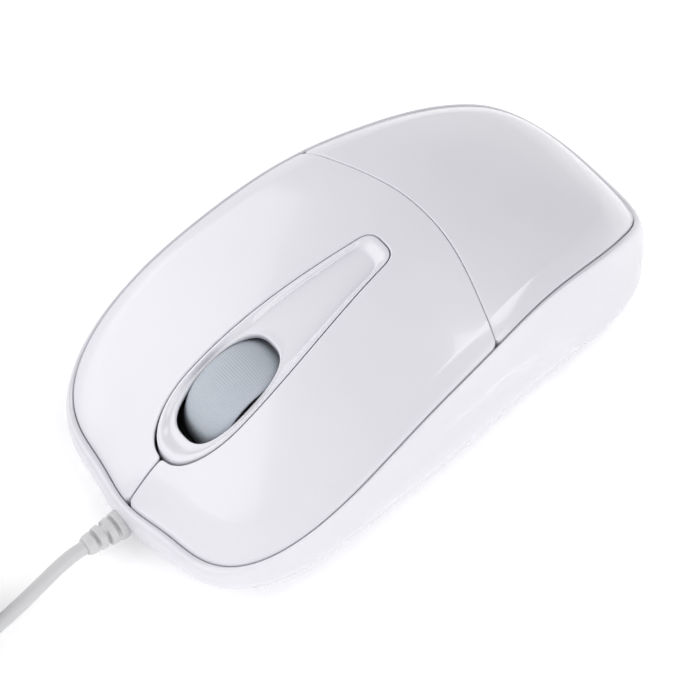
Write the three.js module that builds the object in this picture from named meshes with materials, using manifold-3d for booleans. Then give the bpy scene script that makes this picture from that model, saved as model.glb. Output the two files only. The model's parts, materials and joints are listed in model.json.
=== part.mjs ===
// Wired optical computer mouse, in millimetres: shells, buttons, scroll wheel, electronics, cord and plug.
// +Y is the front, where the cord leaves; +X is the user's right; +Z is up.
// The origin is the bottom centre of the mouse itself, on the surface that it stands on.
import * as THREE from 'three';
import { mergeVertices } from 'three/addons/utils/BufferGeometryUtils.js';
import Module from 'manifold-3d';

const wasm = await Module();
wasm.setup();

// ---- Driving dimensions: casing ----
const HALF_LENGTH = 56.5;
const GAP = 0.3;
const WALL = 1.8;
const SEAM_HALF_WIDTH = 31.3;
const SEAM_FRONT = 54.2;
const SEAM_REAR = -53.8;
const SEAM_WAVES = [[1, -0.06], [2, 0.04], [3, -0.10], [4, -0.04], [5, 0.01], [7, 0.02]];
const SEAM_HEIGHT = [32.2, -10.0, -21.1, 5.4, 1.3];
const REAR_DROP = { start: -40, run: 13, depth: 4 };
const CROWN_HEIGHT = [3.5, -2.1, 4.5, -0.2];
const CROWN_POWERS = [1.73, 1.28];
const SKIRT_DEPTH = 2.5;
const LEDGE_DEPTH = 4.4;
const FLARE = { side: 0.4, front: 3.2, rear: 2.9, frontCorner: -0.5 };
const FRONT_FLAT = { depth: 1.4, halfWidth: 13 };
const TUCK = { side: -6.2, front: -0.3, rear: -0.8, frontCorner: -2.5 };
const BOTTOM_Z = 0.8;
const FLOOR_Z = BOTTOM_Z + WALL;
const SEGMENTS = 72;

// ---- Driving dimensions: cuts between the upper covers ----
const ARC_SEAM = { centre: -12.1, bow: 10.3, ease: -3.4, reference: 30 };
const TRIM = { rear: -2.8, front: 46, rearRound: 0.6, frontRound: 34, rearPower: 3.2, frontPower: 2.5 };
const TRIM_WIDTH = [3.72, 0.138, 0.00212, -0.0000843];
const SLOT = { y: 31.7, halfWidth: 6.1, halfLength: 11.3, power: 2.5, depth: 16 };
const FLEX_Y = 1; // line where the plates bend away from the bridge
const SPLIT = 0.6; // gap between the two plates, in front of the trim
const FRONT_PLAY = 0.4; // extra clearance of the plates in front of the trim

// ---- Driving dimensions: tongues of the button bridge, switch ribs of the plates, clips of the trim ----
const TONGUE = {
  inset: 4, x0: 8, x1: 20, rear: -17, joint: -5, root: -6.4, front: -2, rootTop: 0.9, top: 2.7, bottom: 3.8,
};
const RIB = { halfWidth: 1.5, halfLength: 0.9, sunk: 1 };
const CLIP = { x: 2.4, halfWidth: 0.7, y0: 2, y1: 6, sunk: 0.9, drop: 6 };

// ---- Driving dimensions: scroll wheel and its cradle ----
const WHEEL = { radius: 12, halfWidth: 5.2, tyre: 2.2, stickOut: 2.2 };
const AXLE_RADIUS = 1.5;
const PIVOT = { y: 10, z: 16, radius: 1.0, postInner: 8.3, postOuter: 10.3, postHalf: 2.5, reach: 10.6 };
const CRADLE = {
  inner: 5.9, outer: 7.9, below: 2.9, above: 2.6, ahead: 4, bar: 1.5, earHalf: 1.6, earThickness: 2,
};
const WELL = { halfWidth: 6.2, halfLength: 8, depth: 0.7, top: 6 };
const HUB = { left: -11.3, right: 8.5, core: 3.2, web: 1.2, rim: 1.6, inset: 0.6 };
const ENCODER = { x0: -11.9, x1: -8.2, half: 5, above: 4 };
const SPRING = { x: -6.9, y: 16.8, turns: 5, coilRadius: 1.05, wireRadius: 0.28 };

// ---- Driving dimensions: electronics ----
const BOARD = {
  z: 7.6, thickness: 1.4, front: 44, rear: -24, halfWidth: 21, rearHalfWidth: 16, cutHalfWidth: 11,
};
const BOARD_TOP = BOARD.z + BOARD.thickness + GAP;
const SWITCH = { x: 16.5, y: 31, width: 5.8, length: 12.8, height: 6.5, pocketDepth: 1.5 };
const PLUNGER = { y: 33, halfWidth: 0.8, halfLength: 1.1, rise: 1.0, sunk: 0.6 };
const PRESS = { x: 14.6, y: 18, size: 6, height: 4, pocketDepth: 1.1 };
const PRESS_PLUNGER = { radius: 1.6, rise: 0.7, sunk: 0.7 };
const SENSOR = { y: -8, halfWidth: 6, halfLength: 4.5, height: 3, windowX: 3.4, windowY: 4.6 };
const LENS = { halfWidth: 9, rear: 9, front: 6, thickness: 2, radius: 2.6 };
const LED = { radius: 1.5, length: 5, rear: 11, flange: 1.9, flangeRear: 13, rise: 2 };
const HEADER = { x: -14, y: 41.6, halfWidth: 5, halfLength: 2, height: 3.4, wall: 1, floor: 0.8 };
const CONNECTOR = { height: 2.9, overhang: 0.2 };
const CAPACITOR = { x: 14, y: -16, radius: 2.5, height: 8 };
const BOARD_SCREWS = [[17, 8], [-12, -20]];
const BOARD_SCREW = { head: 2.2, headHeight: 1.4, shaft: 0.9, tip: 4, post: 2.6, hole: 1.2 };
const CASE_SCREW = {
  y: -36, head: 2.6, headZ: 1.5, seatZ: 3.2, shaft: 1.25, tip: 16,
  hole: 1.6, headHole: 3.0, seat: 4.6, boss: 3.2,
};

// ---- Driving dimensions: cord ----
const CORD_DIAMETER = 2.6;
const CORD_EXIT_Z = 3.6;
const RELIEF = {
  collar: 2.85, tip: 1.85, neck: 2.0, flange: 2.7, flangeThickness: 1.4, flangeStart: 51.0, flangeBottom: 1.6,
  collarStart: 55.6, end: 63.8, ribs: 4, ribShare: 0.68, groove: 0.6,
};
const COIL = { x: 14.6, y: 102, meanRadius: 15, layers: 4, turnsPerLayer: 4, pitch: 2.7 };
const TIE = { width: 4, thickness: 0.6 };
const PLUG = {
  x: 44.5, entryY: 92, length: 20, width: 15.6, height: 8, corner: 2,
  neckLength: 6, neckRoot: 2.4, neckTip: 1.9,
};
const PLUG_SHELL = { length: 12, width: 12, height: 4.5, sheet: 0.4 };
const PLUG_WINDOW = { x: 2.9, half: 1.1, start: 4, end: 6.2 };
const PLUG_TONGUE = { thickness: 1.8, setback: 0.8 };

// ---- Shape of the casing ----
const polynomial = (coefficients, t) => coefficients.reduceRight((sum, value) => sum * t + value, 0);
const waveRadius = (angle) => 1 + SEAM_WAVES.reduce((sum, [n, size]) => sum + size * Math.cos(n * angle), 0);
const SEAM_SCALE = (SEAM_FRONT - SEAM_REAR) / (waveRadius(0) + waveRadius(Math.PI));
const SEAM_CENTRE = SEAM_FRONT - SEAM_SCALE * waveRadius(0);

// The plan outline of the seam between the base and the upper covers. Angle 0 is the front.
function seamCurve(angle) {
  const radius = waveRadius(angle);
  const x = SEAM_HALF_WIDTH * radius * Math.sin(angle);
  const y = SEAM_CENTRE + SEAM_SCALE * radius * Math.cos(angle);
  return new THREE.Vector2(x, y);
}

// A point beside the seam outline, moved outwards along its normal.
function seamPoint(angle, offset) {
  const step = 0.001;
  const along = seamCurve(angle + step).sub(seamCurve(angle - step)).normalize();
  return seamCurve(angle).add(new THREE.Vector2(-along.y, along.x).multiplyScalar(offset));
}

// The seam dips towards the rear end, and the crown above it makes up for the dip.
const rearDrop = (y) => REAR_DROP.depth * Math.max(0, (REAR_DROP.start - y) / REAR_DROP.run) ** 2;
const seamHeight = (y) => polynomial(SEAM_HEIGHT, y / HALF_LENGTH) - rearDrop(y);

// Height of the smooth upper surface. It meets the seam outline at the seam's height.
function surfaceZ(x, y) {
  const across = x / SEAM_HALF_WIDTH;
  const along = (y - SEAM_CENTRE) / SEAM_SCALE;
  const reach = Math.min(1, Math.hypot(across, along) / waveRadius(Math.atan2(across, along)));
  const crown = polynomial(CROWN_HEIGHT, y / HALF_LENGTH) + rearDrop(y);
  return seamHeight(y) + crown * (1 - reach ** CROWN_POWERS[0]) ** (1 / CROWN_POWERS[1]);
}

// A value that differs at the sides, the front, the rear and the front corners, blended round the outline.
function aroundOutline(values, angle) {
  const c = Math.cos(angle);
  const { side, front, rear, frontCorner } = values;
  const nearCorner = 1.5 * Math.sqrt(3) * Math.max(0, c) * Math.sin(angle) ** 2;
  return side + ((front + rear - 2 * side) / 2) * c * c + ((front - rear) / 2) * c + frontCorner * nearCorner;
}

function flareAt(angle) {
  const x = seamCurve(angle).x;
  const flat = Math.cos(angle) > 0 ? FRONT_FLAT.depth * Math.exp(-((x / FRONT_FLAT.halfWidth) ** 2)) : 0;
  return aroundOutline(FLARE, angle) - flat;
}

// ---- Solids ----
function toSolid(geometry) {
  const bare = geometry.clone();
  bare.deleteAttribute('normal');
  bare.deleteAttribute('uv');
  const merged = mergeVertices(bare, 1e-4);
  const vertProperties = new Float32Array(merged.attributes.position.array);
  const triVerts = new Uint32Array(merged.index.array);
  return new wasm.Manifold(new wasm.Mesh({ numProp: 3, vertProperties, triVerts }));
}

function toGeometry(solid) {
  const mesh = solid.getMesh();
  const geometry = new THREE.BufferGeometry();
  geometry.setAttribute('position', new THREE.BufferAttribute(new Float32Array(mesh.vertProperties), 3));
  geometry.setIndex(new THREE.BufferAttribute(new Uint32Array(mesh.triVerts), 1));
  geometry.computeVertexNormals();
  return geometry;
}

// A closed skin through rings of points, with a single point at each end.
function loft(firstPole, rings, lastPole) {
  const count = rings[0].length;
  const points = [firstPole, ...rings.flat(), lastPole];
  const at = (ring, i) => 1 + ring * count + (i % count);
  const last = points.length - 1;
  const triangles = [];
  for (let i = 0; i < count; i++) {
    triangles.push([0, at(0, i), at(0, i + 1)]);
    triangles.push([last, at(rings.length - 1, i + 1), at(rings.length - 1, i)]);
    for (let ring = 0; ring + 1 < rings.length; ring++) {
      const [a, b] = [at(ring, i), at(ring, i + 1)];
      const [c, d] = [at(ring + 1, i), at(ring + 1, i + 1)];
      triangles.push([a, c, b], [b, c, d]);
    }
  }
  const volume = triangles.reduce((sum, [a, b, c]) => {
    const cross = new THREE.Vector3().crossVectors(points[b], points[c]);
    return sum + points[a].dot(cross);
  }, 0);
  const faces = volume > 0 ? triangles : triangles.map(([a, b, c]) => [a, c, b]);
  const geometry = new THREE.BufferGeometry().setFromPoints(points);
  geometry.setIndex(faces.flat());
  return toSolid(geometry);
}

const ANGLES = Array.from({ length: SEGMENTS }, (_, i) => (2 * Math.PI * i) / SEGMENTS);

function box(x0, x1, y0, y1, z0, z1) {
  const geometry = new THREE.BoxGeometry(x1 - x0, y1 - y0, z1 - z0);
  return toSolid(geometry.translate((x0 + x1) / 2, (y0 + y1) / 2, (z0 + z1) / 2));
}

// An upright cylinder from z0 to z1.
function post(radius, x, y, z0, z1, sides = 16) {
  const geometry = new THREE.CylinderGeometry(radius, radius, z1 - z0, sides);
  return toSolid(geometry.rotateX(Math.PI / 2).translate(x, y, (z0 + z1) / 2));
}

// A cylinder along X from x0 to x1.
function crossPin(radius, x0, x1, y, z, sides = 16) {
  const geometry = new THREE.CylinderGeometry(radius, radius, x1 - x0, sides);
  return toSolid(geometry.rotateZ(Math.PI / 2).translate((x0 + x1) / 2, y, z));
}

// A plan outline extruded upwards.
function prism(outline, z0, z1) {
  const shape = new THREE.Shape(outline);
  const geometry = new THREE.ExtrudeGeometry(shape, { depth: z1 - z0, bevelEnabled: false });
  return toSolid(geometry.translate(0, 0, z0));
}

// A turned piece whose axis runs along +Y or +X. The profile is [radius, distance along the axis].
function turned(profile, axis, sides = 32) {
  const geometry = new THREE.LatheGeometry(profile.map(([r, d]) => new THREE.Vector2(r, d)), sides);
  if (axis === 'x') geometry.rotateZ(-Math.PI / 2);
  if (axis === 'z') geometry.rotateX(Math.PI / 2);
  return toSolid(geometry);
}

const joined = (...solids) => solids.reduce((sum, solid) => sum.add(solid));
const mirrored = (points) => points.map((p) => new THREE.Vector2(-p.x, p.y)).reverse();

// ---- Upper covers ----
// A curved layer that follows the upper surface between two depths below it.
function surfaceLayer(inset, topDepth, bottomDepth) {
  const steps = [0.3, 0.6, 0.8, 0.92, 1];
  const ring = (reach, depth) => ANGLES.map((angle) => {
    const rim = seamPoint(angle, -inset);
    const x = rim.x * reach;
    const y = SEAM_CENTRE + (rim.y - SEAM_CENTRE) * reach;
    return new THREE.Vector3(x, y, surfaceZ(x, y) - depth);
  });
  const top = steps.map((reach) => ring(reach, topDepth));
  const under = [...steps].reverse().map((reach) => ring(reach, bottomDepth));
  const pole = (depth) => new THREE.Vector3(0, SEAM_CENTRE, surfaceZ(0, SEAM_CENTRE) - depth);
  return loft(pole(topDepth), [...top, ...under], pole(bottomDepth));
}

// The whole upper skin with its skirt, before it is cut into covers.
function upperSkin() {
  const steps = [0.3, 0.54, 0.74, 0.89, 0.96, 1];
  const domeRing = (inset, reach, depth) => ANGLES.map((angle) => {
    const rim = seamPoint(angle, -inset);
    const x = rim.x * reach;
    const y = SEAM_CENTRE + (rim.y - SEAM_CENTRE) * reach;
    return new THREE.Vector3(x, y, surfaceZ(x, y) - depth);
  });
  const skirtRing = (inset) => ANGLES.map((angle) => {
    const rim = seamPoint(angle, -inset);
    return new THREE.Vector3(rim.x, rim.y, seamHeight(rim.y) - SKIRT_DEPTH);
  });
  const innerInset = GAP / 2 + WALL;
  const outside = steps.map((reach) => domeRing(GAP / 2, reach, 0));
  const coarse = steps.filter((_, i) => i % 2 === 1).reverse();
  const inside = coarse.map((reach) => domeRing(innerInset, reach, WALL));
  const rings = [...outside, skirtRing(GAP / 2), skirtRing(innerInset), ...inside];
  const pole = (depth) => new THREE.Vector3(0, SEAM_CENTRE, surfaceZ(0, SEAM_CENTRE) - depth);
  return loft(pole(0), rings, pole(WALL));
}

const CUT_REACH = 40;
const CUT_TOP = 45;

function arcSeamY(x) {
  const u = x / ARC_SEAM.reference;
  return ARC_SEAM.centre + ARC_SEAM.bow * u ** 2 + ARC_SEAM.ease * u ** 4;
}

// The arc seam as plan points from x0 to x1, moved forward by a shift.
function arcSeam(x0, x1, shift, count = 20) {
  return Array.from({ length: count + 1 }, (_, i) => {
    const x = x0 + ((x1 - x0) * i) / count;
    return new THREE.Vector2(x, arcSeamY(THREE.MathUtils.clamp(x, -30, 30)) + shift);
  });
}

// Half-width of the teardrop trim, with rounded ends.
function trimHalfWidth(y) {
  const width = polynomial(TRIM_WIDTH, y);
  if (y > TRIM.frontRound) {
    const s = Math.min(1, (y - TRIM.frontRound) / (TRIM.front - TRIM.frontRound));
    return width * (1 - s ** TRIM.frontPower) ** (1 / TRIM.frontPower);
  }
  if (y < TRIM.rearRound) {
    const s = Math.min(1, (TRIM.rearRound - y) / (TRIM.rearRound - TRIM.rear));
    return width * (1 - s ** TRIM.rearPower) ** (1 / TRIM.rearPower);
  }
  return width;
}

function trimOutline(grow) {
  const count = 16;
  const side = Array.from({ length: count + 1 }, (_, i) => {
    const blend = (1 - Math.cos((Math.PI * i) / count)) / 2;
    const y = TRIM.rear + (TRIM.front - TRIM.rear) * blend;
    const stretched = y + grow * (2 * blend - 1);
    return new THREE.Vector2(trimHalfWidth(y) + (i % count === 0 ? 0 : grow), stretched);
  });
  return [...side, ...mirrored(side.slice(1, -1))];
}

const SLOPE_STEP = 0.5;
const SLOT_SLOPE = Math.atan2(
  surfaceZ(0, SLOT.y - SLOPE_STEP) - surfaceZ(0, SLOT.y + SLOPE_STEP),
  2 * SLOPE_STEP,
);
const SLOT_Z = surfaceZ(0, SLOT.y);
const WHEEL_DROP = WHEEL.radius - WHEEL.stickOut;
const WHEEL_Y = SLOT.y - WHEEL_DROP * Math.sin(SLOT_SLOPE);
const WHEEL_Z = SLOT_Z - WHEEL_DROP * Math.cos(SLOT_SLOPE);

function wheelSlot() {
  const count = 28;
  const outline = Array.from({ length: count }, (_, i) => {
    const angle = (2 * Math.PI * i) / count;
    const [c, s] = [Math.cos(angle), Math.sin(angle)];
    const x = SLOT.halfWidth * Math.sign(c) * Math.abs(c) ** (2 / SLOT.power);
    const y = SLOT.halfLength * Math.sign(s) * Math.abs(s) ** (2 / SLOT.power);
    return new THREE.Vector2(x, y);
  });
  const shape = new THREE.Shape(outline);
  const geometry = new THREE.ExtrudeGeometry(shape, { depth: SLOT.depth, bevelEnabled: false });
  geometry.translate(0, 0, -SLOT.depth / 2).rotateX(-SLOT_SLOPE).translate(0, SLOT.y, SLOT_Z);
  return toSolid(geometry);
}

const skin = upperSkin();
const BOSS_BOTTOM = 6;

function palmCover() {
  const outline = [
    ...arcSeam(-CUT_REACH, CUT_REACH, -GAP / 2),
    new THREE.Vector2(CUT_REACH, -70),
    new THREE.Vector2(-CUT_REACH, -70),
  ];
  const shell = skin.intersect(prism(outline.reverse(), 0, CUT_TOP));
  const { y, boss, hole, tip } = CASE_SCREW;
  const bossTop = surfaceZ(0, y - boss) - WALL / 2;
  const screwBoss = post(boss, 0, y, BOSS_BOTTOM, bossTop).subtract(post(hole, 0, y, BOSS_BOTTOM - 1, tip + 3));
  return joined(shell, screwBoss);
}

// The clearance cut for the trim. It is longer in front, because the plates move back as they are pressed.
function trimClearance() {
  const outline = prism(trimOutline(GAP / 2), 0, CUT_TOP);
  return outline.add(outline.translate([0, FRONT_PLAY, 0]));
}

// The fixed strip behind both button plates, with two tongues that reach under the palm cover.
function buttonBridge() {
  const region = [
    new THREE.Vector2(-CUT_REACH, FLEX_Y - GAP / 2),
    ...arcSeam(-CUT_REACH, CUT_REACH, GAP / 2),
    new THREE.Vector2(CUT_REACH, FLEX_Y - GAP / 2),
  ];
  const strip = skin.intersect(prism(region, 0, CUT_TOP)).subtract(trimClearance());
  const { inset, x0, x1, rootTop, top, bottom } = TONGUE;
  const root = surfaceLayer(inset, rootTop, bottom);
  const tongue = surfaceLayer(inset, top, bottom);
  const tongues = [[-x1, -x0], [x0, x1]].flatMap(([left, right]) => [
    root.intersect(box(left, right, TONGUE.root, TONGUE.front, 0, CUT_TOP)),
    tongue.intersect(box(left, right, TONGUE.rear, TONGUE.joint, 0, CUT_TOP)),
  ]);
  return joined(strip, ...tongues);
}

// One button plate, with the rib that works its switch.
function buttonPlate(side) {
  const [near, far] = [(side * SPLIT) / 2, side * CUT_REACH];
  const region = box(Math.min(near, far), Math.max(near, far), FLEX_Y + GAP / 2, 70, 0, CUT_TOP);
  const plate = skin.intersect(region).subtract(trimClearance());
  const ribBottom = BOARD_TOP + SWITCH.height + PLUNGER.rise + GAP;
  const ribTop = surfaceZ(SWITCH.x, PLUNGER.y) - RIB.sunk;
  const [ribX, ribY] = [side * SWITCH.x, PLUNGER.y];
  const { halfWidth, halfLength } = RIB;
  const rib = box(ribX - halfWidth, ribX + halfWidth, ribY - halfLength, ribY + halfLength, ribBottom, ribTop);
  return plate.add(rib);
}

function centreTrim() {
  const shell = skin.intersect(prism(trimOutline(-GAP / 2), 0, CUT_TOP)).subtract(wheelSlot());
  const { x, halfWidth, y0, y1, sunk, drop } = CLIP;
  const top = surfaceZ(0, (y0 + y1) / 2) - sunk;
  const clips = [-x, x].map((at) => box(at - halfWidth, at + halfWidth, y0, y1, top - drop, top - 1));
  return joined(shell, ...clips);
}

// ---- Base shell ----
const POST_ROOT = FLOOR_Z - 0.6;

// Offset from the seam outline and height of the base's outer wall. It runs from the floor's edge, at 0,
// out to the belly, at 1, and up to the lip beside the seam, at 2.
function wallPoint(angle, run) {
  const rimZ = seamHeight(seamCurve(angle).y);
  const bellyZ = rimZ * (0.45 + 0.22 * (seamCurve(angle).y / HALF_LENGTH));
  const flare = flareAt(angle);
  if (run <= 1) {
    const tuck = aroundOutline(TUCK, angle);
    const across = Math.sin((run * Math.PI) / 2) ** (2 / 1.8);
    const up = 1 - Math.cos((run * Math.PI) / 2) ** (2 / 1.8);
    return { offset: tuck + (flare - tuck) * across, z: BOTTOM_Z + (bellyZ - BOTTOM_Z) * up };
  }
  const power = 2.2 + 2.6 * Math.sin(angle) ** 2;
  const turn = ((run - 1) * Math.PI) / 2;
  const across = Math.cos(turn) ** (2 / power);
  const up = Math.sin(turn) ** (2 / power);
  const lip = GAP / 2 + 0.1;
  return { offset: lip + (flare - lip) * across, z: bellyZ + (rimZ - 0.1 - bellyZ) * up };
}

function wallRing(run, inset, lift) {
  return ANGLES.map((angle) => {
    const { offset, z } = wallPoint(angle, run);
    const p = seamPoint(angle, offset - inset);
    return new THREE.Vector3(p.x, p.y, Math.max(z + lift, inset > 0 ? FLOOR_Z : BOTTOM_Z));
  });
}

// A ring inside the lip, straight down from the seam.
function lipRing(depth) {
  return ANGLES.map((angle) => {
    const p = seamPoint(angle, GAP / 2);
    return new THREE.Vector3(p.x, p.y, seamHeight(seamCurve(angle).y) - depth);
  });
}

// A ring on the inner wall, one wall thickness in from the outside.
function innerRing(fraction) {
  return ANGLES.map((angle) => {
    const rimZ = seamHeight(seamCurve(angle).y);
    const z = FLOOR_Z + (rimZ - LEDGE_DEPTH - FLOOR_Z) * fraction;
    let run = 0;
    while (run < 2 && wallPoint(angle, run).z < z) run += 0.02;
    const p = seamPoint(angle, Math.min(wallPoint(angle, run).offset - WALL, fraction > 0.99 ? GAP / 2 : 9));
    return new THREE.Vector3(p.x, p.y, z);
  });
}

function baseShell() {
  const shrink = (ring, factor) => ring.map((p) => new THREE.Vector3(
    p.x * factor,
    SEAM_CENTRE + (p.y - SEAM_CENTRE) * factor,
    p.z,
  ));
  const outerRuns = [0, 0.3, 0.6, 1, 1.35, 1.6, 1.8, 2];
  const outside = outerRuns.map((run) => wallRing(run, 0, 0));
  const inside = [1, 0.6, 0.25, 0].map((fraction) => innerRing(fraction));
  const rings = [shrink(outside[0], 0.5), ...outside, lipRing(0.1), lipRing(LEDGE_DEPTH - 0.5), ...inside];
  rings.push(shrink(inside[inside.length - 1], 0.5));
  const pole = (z) => new THREE.Vector3(0, SEAM_CENTRE, z);
  const cup = loft(pole(BOTTOM_Z), rings, pole(FLOOR_Z));

  const { postInner, postOuter, postHalf } = PIVOT;
  const pivotHole = crossPin(PIVOT.radius + GAP, -postOuter - 1, postOuter + 1, PIVOT.y, PIVOT.z);
  const pivotPosts = [[-postOuter, -postInner], [postInner, postOuter]].map(([x0, x1]) => (
    box(x0, x1, PIVOT.y - postHalf, PIVOT.y + postHalf, POST_ROOT, PIVOT.z + postHalf).subtract(pivotHole)
  ));
  const boardPosts = BOARD_SCREWS.map(([x, y]) => post(BOARD_SCREW.post, x, y, POST_ROOT, BOARD.z - GAP));
  const { y: screwY, seat, hole, headHole, seatZ } = CASE_SCREW;
  const screwSeat = post(seat, 0, screwY, POST_ROOT, BOSS_BOTTOM - GAP);
  const posts = joined(cup, ...pivotPosts, ...boardPosts, screwSeat);
  const holeStart = BOARD_SCREW.tip - 0.6;
  const screwHoles = BOARD_SCREWS.map(([x, y]) => post(BOARD_SCREW.hole, x, y, holeStart, BOARD.z + 1));
  const alongCord = (radius, y0, y1) => turned([[0, y0], [radius, y0], [radius, y1], [0, y1]], 'y')
    .translate([0, 0, CORD_EXIT_Z]);
  const { flange, flangeStart, flangeBottom, flangeThickness } = RELIEF;
  const [flangeHalf, flangeEnd] = [flange + 0.4, flangeStart + flangeThickness + 0.5];
  const flangeSlot = box(-flangeHalf, flangeHalf, flangeStart - 0.5, flangeEnd, flangeBottom - GAP, 9);
  const { halfWidth: wellX, halfLength: wellY, depth, top } = WELL;
  const wheelWell = box(-wellX, wellX, WHEEL_Y - wellY, WHEEL_Y + wellY, FLOOR_Z - depth, top);
  const footPockets = FEET.map((foot) => footSolid(foot, 0.25, BOTTOM_Z - 1, BOTTOM_Z + 0.4));
  return [
    ...screwHoles,
    ...footPockets,
    alongCord(RELIEF.neck + GAP, 45, 60),
    alongCord(RELIEF.collar + GAP, RELIEF.collarStart - GAP, 60),
    flangeSlot,
    wheelWell,
    post(hole, 0, screwY, 0, BOSS_BOTTOM + 2),
    post(headHole, 0, screwY, 0, seatZ + 0.4),
    sensorWindow(),
  ].reduce((solid, cut) => solid.subtract(cut), posts);
}

// The window that the sensor looks through.
function sensorWindow() {
  const outline = new THREE.Shape().absellipse(0, SENSOR.y, SENSOR.windowX, SENSOR.windowY, 0, 2 * Math.PI);
  const depth = FLOOR_Z + 1.4;
  return toSolid(new THREE.ExtrudeGeometry(outline, { depth, bevelEnabled: false, curveSegments: 16 }));
}

// ---- Glide feet ----
const FOOT = { halfLength: 6.5, halfWidth: 2.4 };
const FEET = [
  { name: 'front_left_foot', x: -14, y: 38, turn: 0.35 },
  { name: 'front_right_foot', x: 14, y: 38, turn: -0.35 },
  { name: 'rear_left_foot', x: -9, y: -40, turn: -0.5 },
  { name: 'rear_right_foot', x: 9, y: -40, turn: 0.5 },
];

function footSolid(foot, grow, z0, z1) {
  const r = FOOT.halfWidth + grow;
  const reach = FOOT.halfLength - FOOT.halfWidth;
  const shape = new THREE.Shape();
  shape.absarc(reach, 0, r, -Math.PI / 2, Math.PI / 2);
  shape.absarc(-reach, 0, r, Math.PI / 2, (3 * Math.PI) / 2);
  const geometry = new THREE.ExtrudeGeometry(shape, { depth: z1 - z0, bevelEnabled: false, curveSegments: 5 });
  return toSolid(geometry.translate(0, 0, z0).rotateZ(foot.turn).translate(foot.x, foot.y, 0));
}

// ---- Scroll wheel ----
function wheelHub() {
  const { left, right, core, web, rim, inset } = HUB;
  const outside = WHEEL.radius - WHEEL.tyre - GAP;
  const inside = outside - rim;
  const half = WHEEL.halfWidth - inset;
  const profile = [
    [0, left], [AXLE_RADIUS, left], [AXLE_RADIUS, -half], [core, -half], [core, -web], [inside, -web],
    [inside, -half], [outside, -half], [outside, half], [inside, half], [inside, web], [core, web],
    [core, half], [AXLE_RADIUS, half], [AXLE_RADIUS, right], [0, right],
  ];
  return turned(profile, 'x', 28).translate([0, WHEEL_Y, WHEEL_Z]);
}

function wheelTyre() {
  const inner = WHEEL.radius - WHEEL.tyre;
  const half = WHEEL.halfWidth;
  const crown = [[0.3, 0.07], [0.6, 0.35], [0.83, 0.95], [1, 2.1]];
  const outer = [
    ...[...crown].reverse().map(([across, drop]) => [WHEEL.radius - drop, -half * across]),
    ...crown.map(([across, drop]) => [WHEEL.radius - drop, half * across]),
  ];
  const profile = [[inner, half], [inner, -half], ...outer, [inner, half]];
  return turned(profile, 'x', 36).translate([0, WHEEL_Y, WHEEL_Z]);
}

function wheelCradle() {
  const { inner, outer, below, above, ahead, bar: barHalf, earHalf, earThickness } = CRADLE;
  const [rear, front] = [PIVOT.y - barHalf, WHEEL_Y + ahead];
  const arms = [[-outer, -inner], [inner, outer]].map(([x0, x1]) => (
    box(x0, x1, rear, front, WHEEL_Z - below, WHEEL_Z + above)
  ));
  const bar = box(-outer + 0.1, outer - 0.1, rear, PIVOT.y + barHalf, PIVOT.z - barHalf, PIVOT.z + barHalf);
  const pins = crossPin(PIVOT.radius, -PIVOT.reach, PIVOT.reach, PIVOT.y, PIVOT.z);
  const earZ = BOARD_TOP + PRESS.height + PRESS_PLUNGER.rise + GAP;
  const ear = box(inner + 1, PRESS.x + 1.2, PRESS.y - earHalf, PRESS.y + earHalf, earZ, earZ + earThickness);
  const bore = crossPin(AXLE_RADIUS + GAP, -9, 9, WHEEL_Y, WHEEL_Z);
  return joined(...arms, bar, pins, ear).subtract(bore);
}

function wheelEncoder() {
  const { x0, x1, half, above } = ENCODER;
  const body = box(x0, x1, WHEEL_Y - half, WHEEL_Y + half, WHEEL_Z - half, WHEEL_Z + above);
  return body.subtract(crossPin(AXLE_RADIUS + GAP, x0 - 1, x1 + 1, WHEEL_Y, WHEEL_Z));
}

// A wire swept along a helix, standing on the floor under the cradle's left arm.
function cradleSpring() {
  const { x, y, turns, coilRadius, wireRadius } = SPRING;
  const [z0, z1] = [FLOOR_Z + GAP + wireRadius, WHEEL_Z - CRADLE.below - GAP - wireRadius];
  const steps = turns * 8;
  const points = Array.from({ length: steps + 1 }, (_, i) => {
    const angle = (i / steps) * turns * 2 * Math.PI;
    const z = z0 + ((z1 - z0) * i) / steps;
    return new THREE.Vector3(x + coilRadius * Math.cos(angle), y + coilRadius * Math.sin(angle), z);
  });
  return tube(points, wireRadius, steps, 5);
}

// A round rod along a smooth curve through the given points.
function tube(points, radius, steps, sides) {
  const section = new THREE.Shape();
  section.absarc(0, 0, radius, 0, 2 * Math.PI);
  const path = new THREE.CatmullRomCurve3(points);
  const geometry = new THREE.ExtrudeGeometry(new THREE.Shape(section.getSpacedPoints(sides).slice(0, sides)), {
    steps,
    extrudePath: path,
  });
  return toSolid(geometry);
}

// ---- Electronics ----
function circuitBoard() {
  const half = BOARD.halfWidth;
  const outline = [
    [-BOARD.rearHalfWidth, BOARD.rear], [BOARD.rearHalfWidth, BOARD.rear], [half, -6], [half, BOARD.front - 5],
    [half - 6, BOARD.front], [BOARD.cutHalfWidth, BOARD.front], [BOARD.cutHalfWidth, 5], [-BOARD.cutHalfWidth, 5],
    [-BOARD.cutHalfWidth, BOARD.front], [-half + 6, BOARD.front], [-half, BOARD.front - 5], [-half, -6],
  ].map(([x, y]) => new THREE.Vector2(x, y));
  const board = prism(outline, BOARD.z, BOARD.z + BOARD.thickness);
  const holes = BOARD_SCREWS.map(([x, y]) => post(BOARD_SCREW.hole, x, y, BOARD.z - 1, BOARD.z + 3));
  return holes.reduce((solid, hole) => solid.subtract(hole), board);
}

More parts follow.
